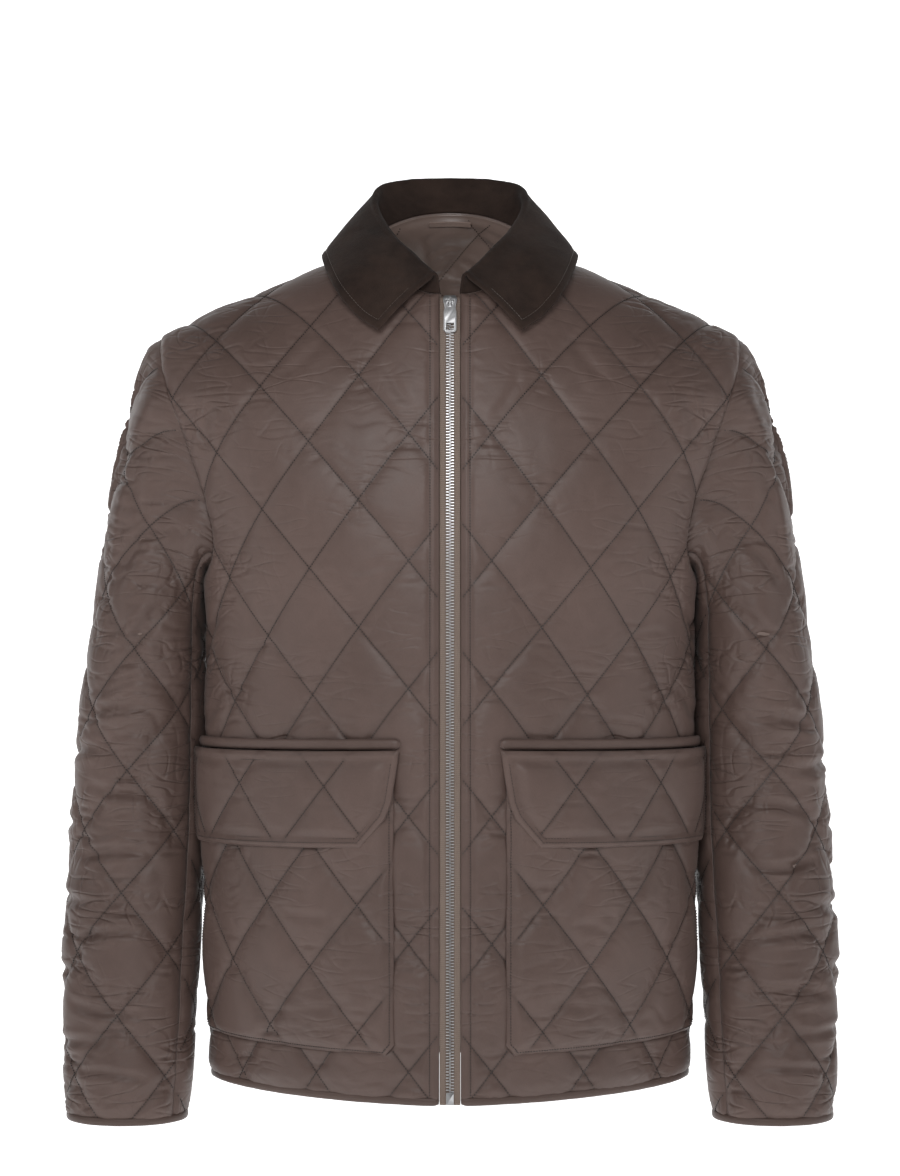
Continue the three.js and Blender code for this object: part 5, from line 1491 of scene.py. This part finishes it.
def make_collar():
    relief = collar_relief()
    places, quads = shell(COLLAR_GRID, -COLLAR_THICK / 2, COLLAR_THICK / 2, rim=0.9, relief=relief)
    along, across, _ = collar_flat()
    uvs = shell_map(np.column_stack([along.ravel(), across.ravel()]), places)
    found = dress(closed_piece("collar_cloth", places, as_triangles(quads), uvs, NAP), "collar")
    sewing("collar_stitching", collar_stitch_lines(relief), COLLAR_THREAD, 2.9, 2.0, 0.5)


def collar_stitch_lines(relief):
    along, across, _ = collar_flat()
    normals = unit(np.cross(np.gradient(COLLAR_GRID, axis=0), np.gradient(COLLAR_GRID, axis=1)))
    outer = COLLAR_GRID + normals * (COLLAR_THICK / 2 + relief[..., None] + 0.1)
    inner = COLLAR_GRID - normals * (COLLAR_THICK / 2 + 0.1)
    count, width = along.shape
    target = COLLAR_STITCH_IN
    leaf = []
    for i in range(count):
        if min(along[i, -1] - along[0, -1], along[-1, -1] - along[i, -1]) < target:
            continue
        j = np.interp(across[i, -1] - target, across[i], np.arange(width))
        leaf.append(grid_point(outer, i, j))
    front_ends = []
    fold_j = int(width * 0.52)
    for side in (0, 1):
        line = []
        for j in range(fold_j, width):
            if across[0, -1] - across[0, j] < target:
                break
            steps = along[:, j] - along[0, j] if side == 0 else along[-1, j] - along[:, j]
            order = np.arange(count) if side == 0 else np.arange(count)[::-1]
            i = np.interp(target, steps[order], order.astype(float))
            line.append(grid_point(outer, i, j))
        front_ends.append(np.array(line))
    stand = [grid_point(inner, i, np.interp(31.0, across[i], np.arange(width))) for i in range(40, count - 40)]
    return [np.array(leaf), *front_ends, np.array(stand)]


def grid_point(points, i, j):
    low_i, low_j = min(int(i), len(points) - 2), min(int(j), points.shape[1] - 2)
    ti, tj = i - low_i, j - low_j
    near = blend(points[low_i, low_j], points[low_i + 1, low_j], ti)
    far = blend(points[low_i, low_j + 1], points[low_i + 1, low_j + 1], ti)
    return blend(near, far, tj)


# Pockets

def closed_line(rows, step=3.2):
    rows = [np.array(row, dtype=float) for row in rows]
    lines = [resample([row, rows[(i + 1) % len(rows)]], step)[:-1] for i, row in enumerate(rows)]
    return np.vstack(lines)


def patch_seam(u, v):
    """How far a point of a patch lies in from its sewn sides and bottom."""
    return np.minimum(np.minimum(u - PATCH_IN_U, PATCH_OUT_U - u), v - PATCH_LOW_V)


def pocket_bulge(u, v):
    across = np.sin(np.pi * np.clip((u - PATCH_IN_U) / 215, 0, 1))
    up = np.clip((v - PATCH_LOW_V) / 240, 0, 1)
    return POCKET_BULGE * across * np.sin(np.pi * up**0.7)


PATCH_CREASES = {
    "left": [
        (95, -565, 140, -578, 4, -1.1, 6), (150, -520, 158, -590, 7, -0.9, 6),
        (180, -600, 235, -612, 4, -1.0, -5),
        (70, -630, 120, -640, 4, -1.0, 5), (225, -540, 250, -600, 5, -1.2, 5),
        (110, -515, 104, -560, 6, -0.8, 4),
    ],
    "right": [
        (90, -555, 150, -548, 4, -1.0, -6), (170, -530, 160, -600, 7, -0.9, 6),
        (185, -618, 240, -604, 4, -1.1, 5),
        (75, -622, 130, -634, 4, -1.0, -5), (228, -535, 252, -590, 5, -1.2, 5),
        (120, -640, 180, -650, 4, -0.9, 4),
    ],
}


def patch_relief(side):
    seed = 83.0 if side == "left" else 97.0

    def relief(u, v, edge):
        sewn = patch_seam(u, v)
        height = quilting(u, v, PATCH_GRID, seed, 1.1) * seam_fade(sewn, 0.15, 12)
        height = height + hand_creases(u, v, PATCH_CREASES[side]) * fade(sewn, 14)
        row = np.abs(sewn - 3.2)
        tucks = grooves(unevenness((u + v) / 6, 0 * u, seed + 7)) * np.exp(-row / 6) * fade(row, 2.5)
        return height - 0.5 * np.exp(-(row / 1.1) ** 2) - 0.5 * tucks
    return relief


def patch_lift(u, v):
    return blend(3.9, PATCH_LIFT, fade(patch_seam(u, v), 9)) + pocket_bulge(u, v)


def flap_lift(u, v):
    return FLAP_LIFT + pocket_bulge(u, np.minimum(v, -431))


FLAP_BORDER = 7.6


def flap_relief(side):
    seed = 101.0 if side == "left" else 113.0

    def relief(u, v, edge):
        top = blend(FLAP_OUTLINE[0][1], FLAP_OUTLINE[-1][1], (u - FLAP_OUTLINE[0][0]) / 220)
        hung = np.where(top - v < 2.5, 40, edge)
        field = fade(hung - FLAP_BORDER, 9)
        height = quilting(u, v, FLAP_GRID, seed, 0.7) * 0.8 * field * blend(0.4, 1, fade(top - v, 14))
        border = 1.5 * np.clip(1 - ((hung - FLAP_BORDER / 2) / (FLAP_BORDER / 2)) ** 2, 0, 1) ** 0.5
        groove = np.exp(-((hung - FLAP_BORDER) / 0.9) ** 2) + 0.45 * np.exp(-((hung - 4.6) / 0.8) ** 2)
        tucks = grooves(unevenness((u * 1.0 + v * 0.6) / 5, 0 * u, seed + 3))
        tucks = tucks * np.exp(-np.abs(hung - FLAP_BORDER) / 6) * fade(np.abs(hung - FLAP_BORDER), 2.2)
        return height + border - 0.55 * groove - 0.35 * tucks
    return relief


PATCHES = {
    side: Panel(front_surface, closed_line(PATCH_OUTLINE), PATCH_GRID, patch_relief(side), patch_lift, 2.6, 1.2,
                lambda u, v: 0.55 + 0 * u, side == "right") for side in SIDES
}
FLAPS = {
    side: Panel(front_surface, closed_line(FLAP_OUTLINE), FLAP_GRID, flap_relief(side), flap_lift, 2.6, 1.0,
                lambda u, v: 0.25 + 0 * u, side == "right") for side in SIDES
}


def patch_stitch_rows(panel):
    ring = inset(panel.outline, 3.2)
    second = inset(panel.outline, 8.5)
    double = second[(second[:, 0] > 240) & (second[:, 1] > -590) & (second[:, 1] < -505)]
    return split_by_steps(ring[ring[:, 1] < -440]) + split_by_steps(double)


def split_by_steps(points, longest=8.0):
    """Cuts a list of points where two neighbours lie far apart, and joins its ends where they meet."""
    gaps = np.linalg.norm(np.diff(points, axis=0), axis=1)
    cuts = [0, *(np.nonzero(gaps > longest)[0] + 1), len(points)]
    runs = [points[a:b] for a, b in zip(cuts, cuts[1:]) if b - a > 3]
    if len(runs) > 1 and np.linalg.norm(runs[0][0] - runs[-1][-1]) < longest:
        runs = [np.vstack([runs[-1], runs[0]]), *runs[1:-1]]
    return runs


def make_pockets():
    made = {}
    for side in SIDES:
        patch, flap = PATCHES[side], FLAPS[side]
        made["patch", side] = dress(patch.mesh(f"patch_cloth_{side}", 30), f"pocket_patch_{side}")
        quilt = patch.quilt_rows(9, skip=lambda u, v: v > -485)
        sewing(f"patch_quilting_{side}", patch.stitched(quilt, QUILTING_PROUD), THREAD)
        rows = patch_stitch_rows(patch)
        sewing(f"patch_stitching_{side}", patch.stitched(rows, STITCHING_PROUD), TOP_THREAD)
        made["flap", side] = dress(flap.mesh(f"flap_cloth_{side}", 26), f"pocket_flap_{side}")
        quilt = flap.quilt_rows(FLAP_BORDER + 0.5)
        sewing(f"flap_quilting_{side}", flap.stitched(quilt, QUILTING_PROUD), THREAD)
        rows = []
        for gap in (4.6, FLAP_BORDER + 0.2):
            ring = inset(flap.outline, gap)
            rows += split_by_steps(ring[ring[:, 1] < -428])
        sewing(f"flap_stitching_{side}", flap.stitched(rows, STITCHING_PROUD), TOP_THREAD, 2.6, 1.8, 0.5)
        made["welt", side] = make_welt(side)
    return made


def make_welt(side):
    us = np.linspace(WELT_FROM, WELT_TO, 90)
    low = blend(WELT_INNER_V, WELT_OUTER_V, (us - WELT_FROM) / (WELT_TO - WELT_FROM))
    centres, outs = front_surface.read(us, low + WELT_HIGH / 2)
    ups = unit(front_surface.read(us, low + WELT_HIGH)[0] - front_surface.read(us, low)[0])
    ripple = unevenness(us / 3.2, 0 * us, 131.0 if side == "left" else 139.0)
    centres = centres + outs * (WELT_THICK / 2 + WELT_LIFT)
    half_high = WELT_HIGH / 2 * (1 + 0.03 * unevenness(us / 9, 0 * us, 7.0))
    strip = roll(centres, outs, ups, WELT_THICK / 2 * (1 + 0.06 * ripple), half_high, power=2.2)
    found = closed_piece(f"welt_roll_{side}", *strip, strip_map(len(us), 2.5), CLOTH, side == "right")
    return dress(found, f"pocket_welt_{side}")


# Lining and hanger loop

BACK_TOP_V = locate(BACK, 0, BACK_NECK_Z)[1]


def lining_panel():
    shoulder = shoulder_line(BACK)
    shoulder = shoulder[shoulder[:, 0] < LINING_HALF]
    lower = resample([shoulder[-1], (LINING_HALF, LINING_LOW_V), (0, LINING_LOW_V)], LINE_STEP)
    half = np.vstack([neck_line(BACK)[:-1], shoulder[:-1], lower])
    outline = inset(np.vstack([half, half[1:-1][::-1] * (-1, 1)])[::-1], 0.4)

    def relief(u, v, edge):
        height = quilting(u, v, LINING_GRID, 151.0, 1.6)
        return -(height * seam_fade(edge, 0.0, 20) - hand_creases(u, v, LINING_CREASES))
    return Panel(back_surface, outline, LINING_GRID, relief)


LINING_CREASES = [
    (-60, 30, -25, 44, 3, -1.4, 3), (-55, 10, -10, 26, 3, -1.4, -3), (25, 8, 32, 48, 3, -1.2, 3),
    (42, 5, 46, 44, 3, -1.2, -3), (-30, -10, 15, -2, 3, -1.4, 4), (-70, -10, -40, 5, 3, -1.2, 4),
]


def lining_lift(edge):
    return blend(-1.7, LINING_LIFT, fade(edge, 9))


def make_lining():
    panel = lining_panel()
    corners, faces = triangulated(panel.outline, fine_points(panel.outline, panel.first, 20, ()))
    edge = edge_distance(*corners.T, panel.outline)
    lift = lining_lift(edge)
    inner = panel.surface.place(*corners.T, lift + panel.relief(*corners.T, edge))
    outer = panel.surface.place(*corners.T, lift + LINING_THICK)
    faces = np.vstack([faces, faces[:, ::-1] + len(outer), rim_faces(len(panel.outline), len(outer))])
    uvs = np.vstack([corners, corners])
    found = mesh_object("lining_cloth", np.vstack([outer, inner]), faces, uvs, None, (LINING,))
    sheet(dress(found, "back_lining"), panel)
    lines = []
    for run in panel.quilt_rows(4):
        edge = edge_distance(*run.T, panel.outline)
        inward = lining_lift(edge) + panel.relief(*run.T, edge) - 0.15
        lines.append(panel.surface.place(*run.T, inward))
    sewing("lining_quilting", lines, THREAD)


def make_hanger():
    us = np.linspace(-HANGER_HALF, HANGER_HALF, 40)
    rows = []
    for u in us:
        vs = BACK_TOP_V - 2.6 - HANGER_HIGH * (1 - np.linspace(0, 1, 8)) - 0.6 * fade(HANGER_HALF - abs(u), 8)
        rows.append(back_surface.place(np.full(8, u), vs, HANGER_LIFT))
    places, quads = shell(np.array(rows), -1.0, 0.0, rim=0.3)
    uvs = shell_map(np.array([(u, k) for u in us for k in range(8)]), places)
    dress(closed_piece("hanger_strip", places, as_triangles(quads), uvs, LOOP), "hanger_loop")


# Zip

def zip_places(x, v, raised):
    """Points on the flat band behind the front edges."""
    middle, normal = front_surface.read(np.full(len(v), FRONT_EDGE), v)
    places = np.column_stack([np.broadcast_to(x, len(v)), middle[:, 1], middle[:, 2]])
    return places + unit(normal * (0, 1, 1)) * np.reshape(raised, (-1, 1))


ZIP_TOP_V = locate(FRONT, FRONT_EDGE, ZIP_TOP_Z)[1]
CHAIN_TOP_V = ZIP_TOP_V - SLIDER_LENGTH - 0.3
BOX_TOP_V = HEM_Z + 1 + BOX_LENGTH


def make_tapes():
    made = {}
    vs = np.linspace(HEM_Z + 1, ZIP_TOP_V, 260)
    xs = np.linspace(TAPE_FROM, TAPE_TO, 12)
    raised = blend(-0.35, TAPE_LIFT, fade(xs - 2.9, 1.4))
    for side in SIDES:
        wave = unevenness(vs / 24, 0 * vs, 161.0 if side == "left" else 167.0) * 0.12
        lines = [zip_places(x, vs, high + wave * fade(x - 3, 3)) for x, high in zip(xs, raised)]
        rows = np.stack(lines, axis=1)
        places, quads = shell(rows[:, ::-1], 0.0, TAPE_THICK * 0.8, rim=0.2)
        uvs = shell_map(np.array([(x, v) for v in vs for x in xs[::-1]]), places)
        found = closed_piece(f"tape_cloth_{side}", places, as_triangles(quads), uvs, TAPE, side == "right")
        made[side] = dress(found, f"zip_tape_{side}")
    return made


def tooth_object():
    """One tooth: a clamp foot on the tape and a narrower head that locks over the middle."""
    shape = [(3.3, 0.4), (3.3, -0.4), (1.6, -0.4), (1.0, -0.27), (-0.5, -0.27), (-0.75, -0.14), (-0.75, 0.14),
             (-0.5, 0.27), (1.0, 0.27), (1.6, 0.4)]
    edit = bmesh.new()
    low = [edit.verts.new((x * MM, y * MM, 0.55 * MM)) for x, y in shape]
    high = [edit.verts.new((x * MM, y * MM, 2.2 * MM)) for x, y in shape]
    edit.faces.new(low[::-1])
    edit.faces.new(high)
    for i in range(len(shape)):
        k = (i + 1) % len(shape)
        edit.faces.new((low[i], low[k], high[k], high[i]))
    bmesh.ops.recalc_face_normals(edit, faces=edit.faces)
    top = [edge for edge in edit.edges if all(v.co.z > 1.5 * MM for v in edge.verts)]
    bmesh.ops.bevel(edit, geom=top, offset=0.22 * MM, segments=1, affect="EDGES")
    mesh = bpy.data.meshes.new("zip_tooth")
    edit.to_mesh(mesh)
    edit.free()
    return linked("zip_tooth", mesh)


def teeth_tree():
    sockets = {"Line": "NodeSocketGeometry", "Tooth": "NodeSocketObject", "Pitch": "NodeSocketFloat",
               "Plating": "NodeSocketMaterial"}
    recipe, given = open_tree("teeth_along_tape", sockets, "Teeth")
    points = points_along(recipe, given["Line"], given["Pitch"])
    tooth = recipe.add("GeometryNodeObjectInfo", {}, {"Object": given["Tooth"]})
    return close_tree(recipe, points, "Y", tooth.outputs["Geometry"], given["Plating"], "Teeth")


def join(name, objects):
    """Several meshes as one new object."""
    mesh = bpy.data.meshes.new(name)
    edit = bmesh.new()
    for found in objects:
        edit.from_mesh(found.data)
    edit.to_mesh(mesh)
    edit.free()
    for material in objects[0].data.materials:
        mesh.materials.append(material)
    for found in objects:
        bpy.data.objects.remove(found)
    return linked(name, mesh)


def make_teeth():
    tooth, tree = tooth_object(), teeth_tree()
    halves = []
    for side, shift in (("left", 0.0), ("right", TOOTH_PITCH / 2)):
        vs = np.arange(BOX_TOP_V + 1 + shift, CHAIN_TOP_V - 1, 4.0)
        line = line_object(f"teeth_line_{side}", [zip_places(0, vs, 0 * vs)])
        values = {"Tooth": tooth, "Pitch": TOOTH_PITCH * MM, "Plating": TEETH_STEEL}
        half = grown(line, tree, values, f"teeth_{side}")
        if side == "right":
            half.data.transform(((-1, 0, 0, 0), (0, 1, 0, 0), (0, 0, 1, 0), (0, 0, 0, 1)))
            half.data.flip_normals()
        halves.append(half)
    bpy.data.objects.remove(tooth)
    dress(join("zip_teeth", halves), "zip_chain")


def refined(node_name, name, bevel):
    """A node's own form with its edges broken, as new metal has them."""
    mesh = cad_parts[node_name].data.copy()
    edit = bmesh.new()
    edit.from_mesh(mesh)
    bmesh.ops.remove_doubles(edit, verts=edit.verts, dist=0.01 * MM)
    bmesh.ops.dissolve_limit(edit, angle_limit=math.radians(4), verts=edit.verts, edges=edit.edges)
    inner = [edge for edge in edit.edges if len(edge.link_faces) == 2]
    sharp = [edge for edge in inner if edge.calc_face_angle(0) > math.radians(28)]
    bmesh.ops.bevel(edit, geom=sharp, offset=bevel * MM, segments=2, affect="EDGES", clamp_overlap=True)
    bmesh.ops.triangulate(edit, faces=edit.faces)
    edit.to_mesh(mesh)
    edit.free()
    mesh.materials.clear()
    mesh.materials.append(STEEL)
    mesh.polygons.foreach_set("use_smooth", np.ones(len(mesh.polygons), dtype=bool))
    mesh.set_sharp_from_angle(angle=math.radians(32))
    return linked(name, mesh)


def make_hardware():
    for node_name, name, bevel, body in (("zip_slider", "slider_body", 0.3, "jacket"),
                                         ("zip_pull_tab", "pull_tab_plate", 0.22, "pull_tab"),
                                         ("zip_box", "zip_end_box", 0.3, "jacket")):
        dress(refined(node_name, name, bevel), node_name, body)


# Assembly

def make_jacket():
    fronts, back, sleeves = make_fronts(), make_back(), make_sleeves()
    cuffs, hems, pockets = make_cuff_bindings(), make_hem_bindings(), make_pockets()
    make_collar()
    make_lining()
    make_hanger()
    tapes = make_tapes()
    make_teeth()
    make_hardware()
    for side in SIDES:
        sheet(fronts[side], FRONTS[side])
        sheet(sleeves[side, "top"], SLEEVES[side, "top"])
        sheet(sleeves[side, "under"], SLEEVES[side, "under"])
        sheet(pockets["patch", side], PATCHES[side])
        sheet(pockets["flap", side], FLAPS[side])
    sheet(back, BACK_CUT)


# Camera, light and floor

CAMERA_Y, CAMERA_Z = -2.330, -0.2854
FRAME_HEIGHT, FRAME_DISTANCE = 0.9643, 2.2


def photo_camera():
    data = bpy.data.cameras.new("photo_camera")
    data.sensor_fit = "AUTO"
    data.sensor_width = 36
    data.lens = 36 * FRAME_DISTANCE / FRAME_HEIGHT
    data.clip_start = 0.05
    camera = linked("photo_camera", data)
    camera.location = (0, CAMERA_Y, CAMERA_Z)
    camera.rotation_euler = (math.pi / 2, 0, 0)
    bpy.context.scene.camera = camera


def soft_light(name, place, aim, wide, high, power):
    data = bpy.data.lights.new(name, "AREA")
    data.shape, data.size, data.size_y, data.energy = "RECTANGLE", wide, high, power
    light = linked(name, data)
    light.location = place
    light.rotation_euler = (Vector(aim) - Vector(place)).to_track_quat("-Z", "Y").to_euler()


# Where each light stands, the height it aims at, how wide and high it is, and its power
LIGHTS = {
    "main_light": ((-0.12, -1.4, 0.22), -0.2, 0.6, 0.5, 10.8),
    "left_light": ((-1.7, -0.75, 0.3), -0.25, 0.5, 1.2, 6.5),
    "right_light": ((1.7, -0.75, 0.3), -0.25, 0.5, 1.2, 5.5),
}
WORLD_STRENGTH, SWEEP_GLOW = 0.15, 0.92
# The white sweep: floor height, its front edge, the wall's place and top, the bend between, half its width
FLOOR_Z, FLOOR_FRONT_Y, WALL_Y, WALL_TOP_Z, SWEEP_BEND, SWEEP_HALF = -1.05, -3.5, 4.6, 5.0, 1.2, 6.0
BEND_PARTS = 12


def studio():
    world = bpy.data.worlds.new("studio")
    bpy.context.scene.world = world
    world.use_nodes = True
    background = world.node_tree.nodes["Background"]
    background.inputs["Color"].default_value = (1, 1, 1, 1)
    background.inputs["Strength"].default_value = WORLD_STRENGTH
    for name, (place, aim_z, wide, high, power) in LIGHTS.items():
        soft_light(name, place, (0, 0, aim_z), wide, high, power)
    profile = [(FLOOR_FRONT_Y, FLOOR_Z), (0.5, FLOOR_Z)]
    for k in range(1, BEND_PARTS + 1):
        turn = math.pi / 2 * k / BEND_PARTS
        profile.append((WALL_Y - SWEEP_BEND * (1 - math.sin(turn)), FLOOR_Z + SWEEP_BEND * (1 - math.cos(turn))))
    profile.append((WALL_Y, WALL_TOP_Z))
    places = np.array([(x, y, z) for y, z in profile for x in (-SWEEP_HALF, SWEEP_HALF)]) / MM
    faces = [(2 * i, 2 * i + 1, 2 * i + 3, 2 * i + 2) for i in range(len(profile) - 1)]
    mesh_object("studio_sweep", places, faces, materials=(studio_white("studio_white", SWEEP_GLOW),))


make_jacket()
photo_camera()
studio()
bpy.context.scene.view_settings.view_transform = "Standard"
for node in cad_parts.values():
    if not node.hide_render and node.data.materials:
        node.data.materials[0] = TRIM
